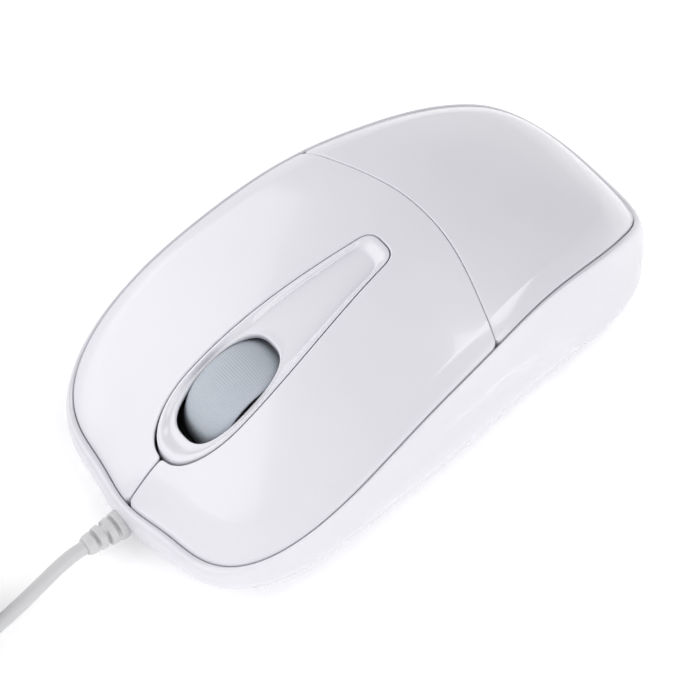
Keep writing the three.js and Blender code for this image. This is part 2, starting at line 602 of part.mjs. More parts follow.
function mainSwitch(side) {
  const x = side * SWITCH.x;
  const [halfWidth, halfLength] = [SWITCH.width / 2, SWITCH.length / 2];
  const top = BOARD_TOP + SWITCH.height;
  const body = box(x - halfWidth, x + halfWidth, SWITCH.y - halfLength, SWITCH.y + halfLength, BOARD_TOP, top);
  const [pocketX, pocketY] = [PLUNGER.halfWidth + GAP, PLUNGER.halfLength + GAP];
  const [rear, front] = [PLUNGER.y - pocketY, PLUNGER.y + pocketY];
  return body.subtract(box(x - pocketX, x + pocketX, rear, front, top - SWITCH.pocketDepth, top + 1));
}

function mainPlunger(side) {
  const x = side * SWITCH.x;
  const top = BOARD_TOP + SWITCH.height;
  const { y, halfWidth, halfLength, rise, sunk } = PLUNGER;
  return box(x - halfWidth, x + halfWidth, y - halfLength, y + halfLength, top - sunk, top + rise);
}

function wheelSwitch() {
  const half = PRESS.size / 2;
  const top = BOARD_TOP + PRESS.height;
  const body = box(PRESS.x - half, PRESS.x + half, PRESS.y - half, PRESS.y + half, BOARD_TOP, top);
  return body.subtract(post(PRESS_PLUNGER.radius + GAP, PRESS.x, PRESS.y, top - PRESS.pocketDepth, top + 1));
}

function wheelPlunger() {
  const top = BOARD_TOP + PRESS.height;
  return post(PRESS_PLUNGER.radius, PRESS.x, PRESS.y, top - PRESS_PLUNGER.sunk, top + PRESS_PLUNGER.rise);
}

function sensorChip() {
  const { y, halfWidth, halfLength, height } = SENSOR;
  return box(-halfWidth, halfWidth, y - halfLength, y + halfLength, BOARD_TOP, BOARD_TOP + height);
}

function sensorLens() {
  const { halfWidth, rear, front, thickness, radius } = LENS;
  const top = BOARD.z - GAP;
  const plate = box(-halfWidth, halfWidth, SENSOR.y - rear, SENSOR.y + front, top - thickness, top);
  return joined(plate, post(radius, 0, SENSOR.y, FLOOR_Z + GAP, top - thickness / 2));
}

function sensorLed() {
  const barrel = new THREE.CylinderGeometry(LED.radius, LED.radius, LED.length, 20);
  const flange = new THREE.CylinderGeometry(LED.flange, LED.flange, 1, 20);
  barrel.translate(0, SENSOR.y - LED.rear, BOARD_TOP + LED.rise);
  flange.translate(0, SENSOR.y - LED.flangeRear, BOARD_TOP + LED.rise);
  return joined(toSolid(barrel), toSolid(flange));
}

// A tray on the board, open upwards and towards the lead.
function cableHeader() {
  const { x, y, halfWidth, halfLength, height, wall, floor } = HEADER;
  const tray = box(x - halfWidth, x + halfWidth, y - halfLength, y + halfLength, BOARD_TOP, BOARD_TOP + height);
  const [inner, rear, front] = [halfWidth - wall, y - halfLength + wall, y + halfLength + 1];
  return tray.subtract(box(x - inner, x + inner, rear, front, BOARD_TOP + floor, BOARD_TOP + height + 1));
}

const CONNECTOR_FRONT = HEADER.y + HEADER.halfLength + CONNECTOR.overhang;

function cableConnector() {
  const { x, y, halfWidth, halfLength, wall, floor } = HEADER;
  const half = halfWidth - wall - GAP;
  const bottom = BOARD_TOP + floor + GAP;
  return box(x - half, x + half, y - halfLength + wall + GAP, CONNECTOR_FRONT, bottom, bottom + CONNECTOR.height);
}

const capacitor = () => {
  const { x, y, radius, height } = CAPACITOR;
  return post(radius, x, y, BOARD_TOP, BOARD_TOP + height);
};

// The lead inside the case, from the strain relief's flange up to the connector.
function innerLead() {
  const points = [
    [0, RELIEF.flangeStart - GAP, CORD_EXIT_Z], [0, 50, CORD_EXIT_Z], [-1, 48.4, 3.8], [-4, 46.9, 4.5],
    [-7.4, 46.2, 5.9], [-10.4, 46.0, 8.1], [-12.9, 45.7, 10.4], [-13.9, 45.0, 11.3],
    [-14, CONNECTOR_FRONT + GAP + 0.1, 11.5],
  ];
  return tube(points.map((p) => new THREE.Vector3(...p)), 1.1, 24, 8);
}

// A pan-head screw, driven down through the board into its post.
function boardScrew([x, y]) {
  const { head, headHeight, shaft, tip } = BOARD_SCREW;
  return joined(post(head, x, y, BOARD_TOP, BOARD_TOP + headHeight), post(shaft, x, y, tip, BOARD_TOP + 0.5));
}

// A pan-head screw, driven up through the floor into the palm cover's boss.
function caseScrew() {
  const { y, head, headZ, seatZ, shaft, tip } = CASE_SCREW;
  return joined(post(head, 0, y, headZ, seatZ), post(shaft, 0, y, seatZ - 0.2, tip));
}

// ---- Cord, its strain relief and its plug ----
function strainRelief() {
  const { collar, tip, neck, flange, flangeThickness, flangeStart, flangeBottom, collarStart, end } = RELIEF;
  const flangeEnd = flangeStart + flangeThickness;
  const profile = [
    [0, flangeStart], [flange, flangeStart], [flange, flangeEnd], [neck, flangeEnd],
    [neck, collarStart], [collar, collarStart],
  ];
  const pitch = (end - collarStart) / RELIEF.ribs;
  const radius = (y) => collar + ((tip - collar) * (y - collarStart)) / (end - collarStart);
  for (let i = 0; i + 1 < RELIEF.ribs; i++) {
    const next = collarStart + (i + 1) * pitch;
    const stop = next - pitch * (1 - RELIEF.ribShare);
    const { groove } = RELIEF;
    profile.push([radius(stop), stop], [radius(stop) - groove, stop]);
    profile.push([radius(next) - groove, next], [radius(next), next]);
  }
  profile.push([tip, end], [0, end]);
  const relief = turned(profile, 'y', 16).translate([0, 0, CORD_EXIT_Z]);
  return relief.subtract(box(-4, 4, flangeStart - 1, flangeStart + 2, 0, flangeBottom));
}

const CORD_RADIUS = CORD_DIAMETER / 2;
const CORD_REST_Z = CORD_RADIUS + 0.05;
const BUNDLE_HALF = ((COIL.turnsPerLayer - 1) * COIL.pitch + CORD_DIAMETER) / 2;
const COIL_BOTTOM = TIE.thickness + GAP;
const COIL_TOP = COIL_BOTTOM + (COIL.layers - 1) * COIL.pitch + CORD_DIAMETER;
const COIL_OUTSIDE = COIL.meanRadius + BUNDLE_HALF;

// The stretch from the strain relief down to the table and along it to the side of the coil.
function cordRun() {
  const points = [
    [0, RELIEF.end + GAP, CORD_EXIT_Z], [0, 66.5, 3.5], [-0.2, 69.5, 3.1], [-0.6, 73, 2.4], [-1.1, 77, 1.7],
    [-1.8, 81.5, CORD_REST_Z], [-2.6, 86, CORD_REST_Z], [-3.3, 88.6, 1.6], [-3.9, 90.8, 1.95],
  ];
  return tube(points.map((p) => new THREE.Vector3(...p)), CORD_RADIUS, 12, 8);
}

// The tail from the top of the coil down to the plug that lies beside it.
function cordTail() {
  const points = [
    [33.6, 113, 10.1], [37, 110.8, 9.2], [40.4, 107.8, 7.4], [43, 104.2, 5.4], [44.3, 101, 4.3],
    [PLUG.x, PLUG.entryY + PLUG.neckLength + GAP, PLUG.height / 2],
  ];
  return tube(points.map((p) => new THREE.Vector3(...p)), CORD_RADIUS, 8, 8);
}

// The stowed length, as the outer form of its wound bundle.
function cordCoil() {
  const [inner, outer] = [COIL.meanRadius - BUNDLE_HALF, COIL_OUTSIDE];
  const soft = 1;
  const profile = [
    [inner, COIL_TOP - soft], [inner, COIL_BOTTOM + soft],
    [inner + soft, COIL_BOTTOM], [outer - soft, COIL_BOTTOM],
    [outer, COIL_BOTTOM + soft], [outer, COIL_TOP - soft], [outer - soft, COIL_TOP], [inner + soft, COIL_TOP],
    [inner, COIL_TOP - soft],
  ];
  return turned(profile, 'z', 36).translate([COIL.x, COIL.y, 0]);
}

// A flat strap closed round the bundle, on the side away from the mouse.
function cordTie() {
  const [inner, outer] = [COIL.meanRadius - BUNDLE_HALF - GAP, COIL_OUTSIDE + GAP];
  const t = TIE.thickness;
  const half = TIE.width / 2;
  const outside = box(-half, half, inner - t, outer + t, 0, COIL_TOP + GAP + t);
  const inside = box(-half - 1, half + 1, inner, outer, COIL_BOTTOM - GAP, COIL_TOP + GAP);
  return outside.subtract(inside).translate([COIL.x, COIL.y, 0]);
}

function plugOvermould() {
  const { x, entryY, length, width, height, corner, neckLength, neckRoot, neckTip } = PLUG;
  const [w, h] = [width / 2 - corner, height / 2 - corner];
  const shape = new THREE.Shape();
  shape.absarc(w, h, corner, 0, Math.PI / 2);
  shape.absarc(-w, h, corner, Math.PI / 2, Math.PI);
  shape.absarc(-w, -h, corner, Math.PI, 1.5 * Math.PI);
  shape.absarc(w, -h, corner, 1.5 * Math.PI, 2 * Math.PI);
  const geometry = new THREE.ExtrudeGeometry(shape, { depth: length, bevelEnabled: false, curveSegments: 4 });
  geometry.rotateX(Math.PI / 2).translate(x, entryY, height / 2);
  const [neckStart, neckEnd] = [entryY - 1, entryY + neckLength];
  const neck = [[0, neckStart], [neckRoot, neckStart], [neckTip, neckEnd], [0, neckEnd]];
  return joined(toSolid(geometry), turned(neck, 'y', 16).translate([x, 0, height / 2]));
}

const SHELL_REAR = PLUG.entryY - PLUG.length - GAP;
const SHELL_FRONT = SHELL_REAR - PLUG_SHELL.length;

// The metal sleeve: open in front, with the two latch windows of a standard plug.
function plugShell() {
  const { width, height, sheet } = PLUG_SHELL;
  const [w, h, x, z] = [width / 2, height / 2, PLUG.x, PLUG.height / 2];
  const outside = box(x - w, x + w, SHELL_FRONT, SHELL_REAR, z - h, z + h);
  const inside = box(x - w + sheet, x + w - sheet, SHELL_FRONT - 1, SHELL_REAR - 1, z - h + sheet, z + h - sheet);
  const shell = outside.subtract(inside);
  const { x: windowX, half, start, end } = PLUG_WINDOW;
  const windows = [x - windowX, x + windowX].map((at) => (
    box(at - half, at + half, SHELL_FRONT + start, SHELL_FRONT + end, z, z + h + 1)
  ));
  return windows.reduce((solid, hole) => solid.subtract(hole), shell);
}

function plugTongue() {
  const half = PLUG_SHELL.width / 2 - PLUG_SHELL.sheet - GAP;
  const top = PLUG.height / 2 + PLUG_SHELL.height / 2 - PLUG_SHELL.sheet - GAP;
  const { thickness, setback } = PLUG_TONGUE;
  return box(PLUG.x - half, PLUG.x + half, SHELL_FRONT + setback, SHELL_REAR - 1 - GAP, top - thickness, top);
}

// ---- Materials ----
function material(color, roughness, metalness = 0) {
  return new THREE.MeshStandardMaterial({ color, roughness, metalness });
}
const whitePlastic = material(0xe9e8ee, 0.25);
const greyRubber = material(0x9aa3ab, 0.6);
const darkPlastic = material(0x2b2b2e, 0.5);
const palePlastic = material(0xd8d8d4, 0.5);
const boardGreen = material(0x2f6b3c, 0.5);
const clearPlastic = material(0xdfe6ea, 0.1);
const redLens = material(0xc23a3a, 0.2);
const steel = material(0xb9bcc0, 0.3, 1);
const cordWhite = material(0xdfe0e2, 0.5);
const glideGrey = material(0xc9cbd0, 0.4);
const redButton = material(0xb4453c, 0.5);

// ---- Assembly ----
const mouse = new THREE.Group();

function add(name, solid, look) {
  const mesh = new THREE.Mesh(toGeometry(solid), look);
  mesh.name = name;
  mouse.add(mesh);
}

add('base_shell', baseShell(), whitePlastic);
add('palm_cover', palmCover(), whitePlastic);
add('button_bridge', buttonBridge(), whitePlastic);
add('left_button', buttonPlate(-1), whitePlastic);
add('right_button', buttonPlate(1), whitePlastic);
add('centre_trim', centreTrim(), whitePlastic);
add('wheel_hub', wheelHub(), palePlastic);
add('wheel_tyre', wheelTyre(), greyRubber);
add('wheel_cradle', wheelCradle(), palePlastic);
add('wheel_encoder', wheelEncoder(), darkPlastic);
add('cradle_spring', cradleSpring(), steel);
add('circuit_board', circuitBoard(), boardGreen);
add('left_switch', mainSwitch(-1), darkPlastic);
add('right_switch', mainSwitch(1), darkPlastic);
add('left_plunger', mainPlunger(-1), redButton);
add('right_plunger', mainPlunger(1), redButton);
add('wheel_switch', wheelSwitch(), darkPlastic);
add('wheel_plunger', wheelPlunger(), redButton);
add('sensor_chip', sensorChip(), darkPlastic);
add('sensor_lens', sensorLens(), clearPlastic);
add('sensor_led', sensorLed(), redLens);
add('cable_header', cableHeader(), palePlastic);
add('cable_connector', cableConnector(), palePlastic);
add('inner_lead', innerLead(), cordWhite);
add('capacitor', capacitor(), darkPlastic);
BOARD_SCREWS.forEach((place, i) => add(`board_screw_${i + 1}`, boardScrew(place), steel));
add('case_screw', caseScrew(), steel);
FEET.forEach((foot) => add(foot.name, footSolid(foot, 0, 0, 0.9), glideGrey));
add('strain_relief', strainRelief(), cordWhite);
add('cord_run', cordRun(), cordWhite);
add('cord_coil', cordCoil(), cordWhite);
add('cord_tail', cordTail(), cordWhite);
add('cord_tie', cordTie(), palePlastic);
add('usb_overmould', plugOvermould(), cordWhite);
add('usb_shell', plugShell(), steel);
add('usb_tongue', plugTongue(), palePlastic);

export default mouse;
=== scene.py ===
"""Looks of a wired optical computer mouse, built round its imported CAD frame.

Shapes are worked out in millimetres, in the frame's axes, and become metres as each mesh is made.
+Y is the front, where the cord leaves; +X is the user's right; +Z is up.
"""

import json

import bmesh
import bpy
import numpy as np
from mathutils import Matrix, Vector


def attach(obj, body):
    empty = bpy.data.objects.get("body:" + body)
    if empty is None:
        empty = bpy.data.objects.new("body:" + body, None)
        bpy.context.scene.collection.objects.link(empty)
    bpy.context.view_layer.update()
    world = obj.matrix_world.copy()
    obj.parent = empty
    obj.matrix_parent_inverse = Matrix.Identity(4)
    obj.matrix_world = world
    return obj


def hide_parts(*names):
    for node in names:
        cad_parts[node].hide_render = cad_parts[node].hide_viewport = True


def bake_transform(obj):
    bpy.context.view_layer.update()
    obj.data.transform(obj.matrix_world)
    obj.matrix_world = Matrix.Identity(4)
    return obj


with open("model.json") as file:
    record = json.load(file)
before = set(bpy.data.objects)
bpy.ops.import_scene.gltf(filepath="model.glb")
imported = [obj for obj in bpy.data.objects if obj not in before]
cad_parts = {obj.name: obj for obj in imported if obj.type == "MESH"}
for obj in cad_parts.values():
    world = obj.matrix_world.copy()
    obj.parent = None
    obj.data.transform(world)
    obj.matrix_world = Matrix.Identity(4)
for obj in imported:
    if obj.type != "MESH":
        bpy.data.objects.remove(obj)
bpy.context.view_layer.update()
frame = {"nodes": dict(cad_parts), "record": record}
MM = 0.001

# ---- Casing, as in the CAD model ----
HALF_LENGTH = 56.5
GAP = 0.3
SEAM_HALF_WIDTH = 31.3
SEAM_FRONT = 54.2
SEAM_REAR = -53.8
SEAM_WAVES = {1: -0.06, 2: 0.04, 3: -0.10, 4: -0.04, 5: 0.01, 7: 0.02}
SEAM_HEIGHT = (32.2, -10.0, -21.1, 5.4, 1.3)
REAR_DROP = {"start": -40, "run": 13, "depth": 4}
CROWN_HEIGHT = (3.5, -2.1, 4.5, -0.2)
CROWN_POWERS = (1.73, 1.28)
FLARE = {"side": 0.4, "front": 3.2, "rear": 2.9, "front_corner": -0.5}
FRONT_FLAT = {"depth": 1.4, "half_width": 13}
TUCK = {"side": -6.2, "front": -0.3, "rear": -0.8, "front_corner": -2.5}
BELLY = {"height": 0.45, "rise": 0.22, "power_below": 1.8, "power_above": 2.2, "power_at_sides": 2.6}
BOTTOM_Z = 0.8
FLOOR_Z = 2.6
ARC_SEAM = {"centre": -12.1, "bow": 10.3, "ease": -3.4, "reference": 30}
TRIM = {
    "rear": -2.8, "rear_round": 0.6, "rear_power": 3.2,
    "front": 46, "front_round": 34, "front_power": 2.5,
}
TRIM_WIDTH = (3.72, 0.138, 0.00212, -0.0000843)

# ---- Edges and thicknesses of the visible shells ----
SPLIT = 0.25
SEAM_GAP = 0.08
PLATE_EDGE = 0.3
PLATE_DEPTH = 2.2
INSET = SEAM_GAP / 2 + PLATE_EDGE
LIP_EDGE = 0.45
LIP_DEPTH = 4.0
LEDGE = 1.6
BASE_WALL = {"thickness": 2.4, "run": 0.4}
CORNER = 0.7
TRIM_CORNER = 0.45
NOSE_ROOM = {"start": 38, "run": 6, "extra": 0.35}
EDGE_STEPS = 5

# ---- The covers stand a little higher than in the CAD and roll down near the seam, to the base's lip ----
LIFT = 0.55
ROLL = {"start": 0.88, "depth": 1.05, "power": 1.35}
LIP_DROP = 0.5

# ---- Centre trim: its raised rim, the band that slopes in from it, and the dish inside ----
TRIM_RIM = {"raise": 0.12, "edge": 0.35, "width": 0.7, "dish": 0.8, "slope": 2.6, "band_share": 0.86}

# ---- The wheel slot's edge at the top of the trim, a little inside the CAD slot ----
SLOT = {
    "y": 31.6, "half_width": 5.75, "half_length": 9.8, "power": 2.7,
    "edge": 0.4, "wall": 2.0, "flange": 0.6, "stretch": 1.75,
}

# ---- Grip panels low on the base's sides ----
GRIP = {
    "z": 21.6, "dip_start": -8, "dip_run": 32, "power": 1.3,
    "front": 14, "fade": 22, "depth": 0.8, "low": 6,
}

# ---- Underside, as in the CAD model ----
WINDOW = {"y": -8, "half_width": 3.4, "half_length": 4.6}
SCREW_RECESS = {"y": -36, "radius": 3.0}
FOOT = {
    "half_width": 6.85, "half_length": 2.75, "pocket_top": 1.2,
    "places": [(-14, 38, 0.35), (14, 38, -0.35), (-9, -40, -0.5), (9, -40, 0.5)],
}

# ---- Wheel ----
WHEEL_Y = 27.14
WHEEL_Z = 15.083
TYRE = {
    "radius": 11.8, "inner": 9.8, "half_width": 5.5, "crown": 1.25, "shoulder": 0.45,
    "ribs": 150, "rib_depth": 0.09,
}

# ---- Cord ----
CORD_RADIUS = 1.3
CORD_EXIT_Z = 3.6
COIL = {"x": 14.6, "y": 102, "outer": 19.05, "pitch": 2.7, "turns": 4, "layers": 4, "z": 2.2}
RELIEF = {
    "start": 55.6, "end": 63.8, "collar": 2.85, "tip": 1.85, "rounding": 0.3,
    "neck": 2.0, "flange": 2.6, "flange_back": 51, "flange_front": 52.4,
}
GROOVE = {"count": 3, "half_width": 0.42, "depth": 0.95, "steepness": 2.2, "back": 0.1}

# ---- Camera ----
CAMERA_AZIMUTH = 141.3
CAMERA_ELEVATION = 53.8
CAMERA_DISTANCE = 598
CAMERA_TARGET = (0, 0, 15)
CAMERA_LENS = 172.5
CAMERA_SHIFT = (-0.0296, -0.0376)

# ---- Studio, in metres and watts ----
STUDIO = {"tilt": (-0.35, -0.45, 1.0), "from": (0.15, 0.85), "walls": 1.1, "ceiling": 0.27}
LIGHTS = {
    "key": {"place": (0.85, 0.5, 0.6), "size": (1.2, 0.9), "power": 5.0},
    "side": {"place": (-0.85, -0.1, 0.46), "size": (1.0, 0.6), "power": 4.4},
    "front": {"place": (-0.05, 0.95, 0.13), "size": (0.9, 0.2), "power": 1.3},
    "strip": {"place": (-0.2, -0.32, 0.9), "size": (0.3, 0.75), "power": 2.5},
}


# ---- Camera ----
def make_camera():
    azimuth, elevation = np.radians((CAMERA_AZIMUTH, CAMERA_ELEVATION))
    level = np.cos(elevation)
    back = Vector((np.cos(azimuth) * level, np.sin(azimuth) * level, np.sin(elevation)))
    data = bpy.data.cameras.new("camera")
    data.lens = CAMERA_LENS
    data.sensor_width = 36
    data.shift_x, data.shift_y = CAMERA_SHIFT
    data.clip_end = 20
    camera = bpy.data.objects.new("camera", data)
    camera.location = (Vector(CAMERA_TARGET) + back * CAMERA_DISTANCE) * MM
    camera.rotation_euler = back.to_track_quat("Z", "Y").to_euler()
    bpy.context.collection.objects.link(camera)
    bpy.context.scene.camera = camera


make_camera()


# ---- Materials ----
def new_material(name):
    """A material whose only shader is a Principled BSDF. Returns it with its nodes, links and shader."""
    material = bpy.data.materials.new(name)
    material.use_nodes = True
    nodes, links = material.node_tree.nodes, material.node_tree.links
    nodes.clear()
    output = nodes.new("ShaderNodeOutputMaterial")
    shader = nodes.new("ShaderNodeBsdfPrincipled")
    links.new(shader.outputs["BSDF"], output.inputs["Surface"])
    return material, nodes, links, shader


def noise(nodes, links, scale, detail=3.0, stretch=(1, 1, 1)):
    """Noise in the object's own coordinates. Scale is in cycles a metre."""
    place = nodes.new("ShaderNodeTexCoord")
    mapping = nodes.new("ShaderNodeMapping")
    mapping.inputs["Scale"].default_value = stretch
    texture = nodes.new("ShaderNodeTexNoise")
    texture.inputs["Scale"].default_value = scale
    texture.inputs["Detail"].default_value = detail
    links.new(place.outputs["Object"], mapping.inputs["Vector"])
    links.new(mapping.outputs["Vector"], texture.inputs["Vector"])
    return texture


def vary(nodes, links, texture, low, high):
    """Spreads a texture's factor from low to high."""
    spread = nodes.new("ShaderNodeMapRange")
    spread.inputs["From Min"].default_value = 0.3
    spread.inputs["From Max"].default_value = 0.7
    spread.inputs["To Min"].default_value = low
    spread.inputs["To Max"].default_value = high
    links.new(texture.outputs["Fac"], spread.inputs["Value"])
    return spread.outputs["Result"]


def tint(nodes, links, texture, first, second):
    """A colour that drifts between two close shades."""
    ramp = nodes.new("ShaderNodeValToRGB")
    ramp.color_ramp.elements[0].position = 0.35
    ramp.color_ramp.elements[0].color = (*first, 1)
    ramp.color_ramp.elements[1].position = 0.65
    ramp.color_ramp.elements[1].color = (*second, 1)
    links.new(texture.outputs["Fac"], ramp.inputs["Fac"])
    return ramp.outputs["Color"]


def grain(nodes, links, shader, texture, distance):
    """A bump of that many millimetres."""
    bump = nodes.new("ShaderNodeBump")
    bump.inputs["Strength"].default_value = 1.0
    bump.inputs["Distance"].default_value = distance * MM
    links.new(texture.outputs["Fac"], bump.inputs["Height"])
    links.new(bump.outputs["Normal"], shader.inputs["Normal"])


def plastic(name, first, second, roughness, bump, scale, coat=0.0, scatter=0.0):
    """Moulded plastic: a slow drift of shade and gloss, and the mould's fine surface."""
    material, nodes, links, shader = new_material(name)
    slow = noise(nodes, links, 40, 2.0)
    fine = noise(nodes, links, scale, 4.0)
    links.new(tint(nodes, links, slow, first, second), shader.inputs["Base Color"])
    links.new(vary(nodes, links, slow, *roughness), shader.inputs["Roughness"])
    grain(nodes, links, shader, fine, bump)
    shader.inputs["IOR"].default_value = 1.49
    if coat:
        shader.inputs["Coat Weight"].default_value = coat
        shader.inputs["Coat Roughness"].default_value = 0.06
    if scatter:
        shader.inputs["Subsurface Weight"].default_value = scatter
        shader.inputs["Subsurface Radius"].default_value = (0.0012, 0.0011, 0.0012)
        shader.inputs["Subsurface Scale"].default_value = 1.0
    return material


def shell_plastic():
    """Glossy, faintly cool white."""
    first, second = (0.625, 0.618, 0.665), (0.645, 0.638, 0.680)
    return plastic("shell_plastic", first, second, (0.17, 0.22), 0.0016, 1500, coat=0.35)


def wheel_rubber():
    first, second = (0.37, 0.405, 0.455), (0.40, 0.435, 0.485)
    return plastic("wheel_rubber", first, second, (0.42, 0.52), 0.006, 6000)


def pale_plastic():
    return plastic("pale_plastic", (0.60, 0.60, 0.57), (0.66, 0.66, 0.63), (0.38, 0.5), 0.004, 4000)


def dark_plastic():
    first, second = (0.022, 0.022, 0.026), (0.03, 0.03, 0.034)
    return plastic("dark_plastic", first, second, (0.38, 0.52), 0.006, 5000)


def board_laminate():
    """Green solder mask over a faint weave."""
    material, nodes, links, shader = new_material("board_laminate")
    weave = noise(nodes, links, 2200, 2.0, (1, 0.25, 1))
    slow = noise(nodes, links, 150, 3.0)
    green = tint(nodes, links, slow, (0.020, 0.120, 0.040), (0.030, 0.155, 0.055))
    links.new(green, shader.inputs["Base Color"])
    links.new(vary(nodes, links, weave, 0.28, 0.42), shader.inputs["Roughness"])
    grain(nodes, links, shader, weave, 0.008)
    return material


def steel():
    """Nickel-plated steel, brushed along X."""
    material, nodes, links, shader = new_material("steel")
    brushed = noise(nodes, links, 900, 4.0, (0.08, 1, 1))
    grey = tint(nodes, links, brushed, (0.50, 0.51, 0.53), (0.58, 0.59, 0.61))
    links.new(grey, shader.inputs["Base Color"])
    links.new(vary(nodes, links, brushed, 0.22, 0.34), shader.inputs["Roughness"])
    grain(nodes, links, shader, brushed, 0.002)
    shader.inputs["Metallic"].default_value = 1.0
    return material


def switch_button():
    first, second = (0.40, 0.05, 0.035), (0.47, 0.065, 0.045)
    return plastic("switch_button", first, second, (0.35, 0.5), 0.004, 4000)


def glide_plastic():
    first, second = (0.55, 0.57, 0.60), (0.60, 0.62, 0.65)
    return plastic("glide_plastic", first, second, (0.3, 0.42), 0.01, 2500)


def tie_plastic():
    first, second = (0.56, 0.56, 0.56), (0.60, 0.60, 0.60)
    return plastic("tie_plastic", first, second, (0.4, 0.52), 0.008, 3000)


def clear_plastic(name, first, second, transmission):
    """See-through plastic for the lens plate and the lamp."""
    material, nodes, links, shader = new_material(name)
    slow = noise(nodes, links, 200, 2.0)
    links.new(tint(nodes, links, slow, first, second), shader.inputs["Base Color"])
    links.new(vary(nodes, links, slow, 0.06, 0.12), shader.inputs["Roughness"])
    grain(nodes, links, shader, slow, 0.002)
    shader.inputs["Transmission Weight"].default_value = transmission
    shader.inputs["IOR"].default_value = 1.49
    return material


def cord_jacket():
    """Satin flexible plastic."""
    first, second = (0.52, 0.52, 0.53), (0.55, 0.55, 0.56)
    return plastic("cord_jacket", first, second, (0.34, 0.44), 0.004, 2600, scatter=0.1)


MATERIALS = {
    "shell_plastic": shell_plastic(),
    "wheel_rubber": wheel_rubber(),
    "pale_plastic": pale_plastic(),
    "dark_plastic": dark_plastic(),
    "board_laminate": board_laminate(),
    "steel": steel(),
    "lens_plastic": clear_plastic("lens_plastic", (0.78, 0.83, 0.86), (0.84, 0.88, 0.90), 0.9),
    "led_plastic": clear_plastic("led_plastic", (0.50, 0.045, 0.045), (0.58, 0.06, 0.06), 0.5),
    "switch_button": switch_button(),
    "cord_jacket": cord_jacket(),
    "glide_plastic": glide_plastic(),
    "tie_plastic": tie_plastic(),
}


def dress(obj, slot):
    """Gives a new piece the material of that slot."""
    obj.data.materials.append(MATERIALS[slot])
    return obj


# ---- Cord ----
def smooth_route(points, steps=8):
    """A smooth line through the given points, as a Catmull-Rom spline."""
    p = np.array(points, float)
    p = np.vstack([2 * p[0] - p[1], p, 2 * p[-1] - p[-2]])
    t = np.linspace(0, 1, steps, endpoint=False)[:, None]
    parts = []
    for a, b, c, d in zip(p, p[1:], p[2:], p[3:]):
        bend = 2 * a - 5 * b + 4 * c - d
        twist = -a + 3 * b - 3 * c + d
        parts.append(0.5 * (2 * b + (c - a) * t + bend * t**2 + twist * t**3))
    return np.vstack([*parts, p[-2:-1]])


def coil_route(step=10):
    """The wound length, clockwise seen from above, in layers wound inwards and outwards in turn.

    Between two turns of a layer the cord moves sideways by a pitch, over side_shift degrees of its travel.
    After a layer's last turn it climbs by a pitch, over rise degrees.
    """
    side_shift = (300, 350)
    rise = (350, 400)
    turns, layers, pitch = COIL["turns"], COIL["layers"], COIL["pitch"]
    end = 360 * (turns * layers - 1) + 120

    def ramp(travel, start, window):
        t = np.clip((travel - start - window[0]) / (window[1] - window[0]), 0, 1)
        return t * t * (3 - 2 * t)

    points = []
    for travel in range(0, end + 1, step):
        radius, z = COIL["outer"], COIL["z"]
        for turn in range(turns * layers):
            layer, within = divmod(turn, turns)
            inwards = -1 if layer % 2 == 0 else 1
            if within < turns - 1:
                radius += inwards * pitch * ramp(travel, 360 * turn, side_shift)
            elif layer < layers - 1:
                z += pitch * ramp(travel, 360 * turn, rise)
        angle = np.radians(180 - travel)
        points.append((COIL["x"] + radius * np.cos(angle), COIL["y"] + radius * np.sin(angle), z))
    return np.array(points)


def cord_route():
    run = [
        (0, 62.6, 3.6), (0, 64.1, 3.6), (0, 66.5, 3.5), (-0.2, 69.5, 3.1), (-0.6, 73, 2.4), (-1.1, 77, 1.7),
        (-1.8, 81.5, 1.35), (-2.6, 86, 1.35), (-3.3, 88.6, 1.6), (-3.9, 90.8, 1.95), (-4.35, 96.5, 2.15),
    ]
    tail = [
        (29, 115.7, 10.25), (33.6, 113, 10.1), (37, 110.8, 9.2), (40.4, 107.8, 7.4), (43, 104.2, 5.4),
        (44.3, 101, 4.3), (44.5, 98.3, 4.0), (44.5, 97, 4.0),
    ]
    coil = coil_route()
    before = smooth_route([*run, coil[0], coil[1]])
    after = smooth_route([coil[-2], coil[-1], *tail])
    return np.vstack([before[:-9], coil, after[9:]])


def make_cord():
    curve = bpy.data.curves.new("cord", "CURVE")
    curve.dimensions = "3D"
    curve.bevel_depth = CORD_RADIUS * MM
    curve.bevel_resolution = 5
    curve.use_fill_caps = True
    route = cord_route()
    spline = curve.splines.new("POLY")
    spline.points.add(len(route) - 1)
    spline.points.foreach_set("co", np.c_[route * MM, np.ones(len(route))].ravel())
    spline.use_smooth = True
    obj = bpy.data.objects.new("cord", curve)
    bpy.context.collection.objects.link(obj)
    dress(obj, "cord_jacket")
    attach(obj, "root")
    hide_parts("cord_run", "cord_coil", "cord_tail")
    return obj


cord = make_cord()


# ---- Shape of the casing ----
def polynomial(coefficients, t):
    return sum(c * t**i for i, c in enumerate(coefficients))


def wave_radius(angle):
    return 1 + sum(size * np.cos(n * angle) for n, size in SEAM_WAVES.items())


SEAM_SCALE = (SEAM_FRONT - SEAM_REAR) / (wave_radius(0) + wave_radius(np.pi))
SEAM_CENTRE = SEAM_FRONT - SEAM_SCALE * wave_radius(0)


def seam_curve(angle):
    """The plan outline of the seam between the base and the upper covers. Angle 0 is the front."""
    radius = wave_radius(angle)
    x = SEAM_HALF_WIDTH * radius * np.sin(angle)
    return np.stack([x, SEAM_CENTRE + SEAM_SCALE * radius * np.cos(angle)], -1)


def seam_point(angle, offset):
    """A point beside the seam outline, moved outwards along its normal."""
    along = seam_curve(angle + 0.001) - seam_curve(angle - 0.001)
    along = along / np.linalg.norm(along, axis=-1, keepdims=True)
    outward = np.stack([-along[..., 1], along[..., 0]], -1)
    return seam_curve(angle) + outward * np.expand_dims(offset, -1)


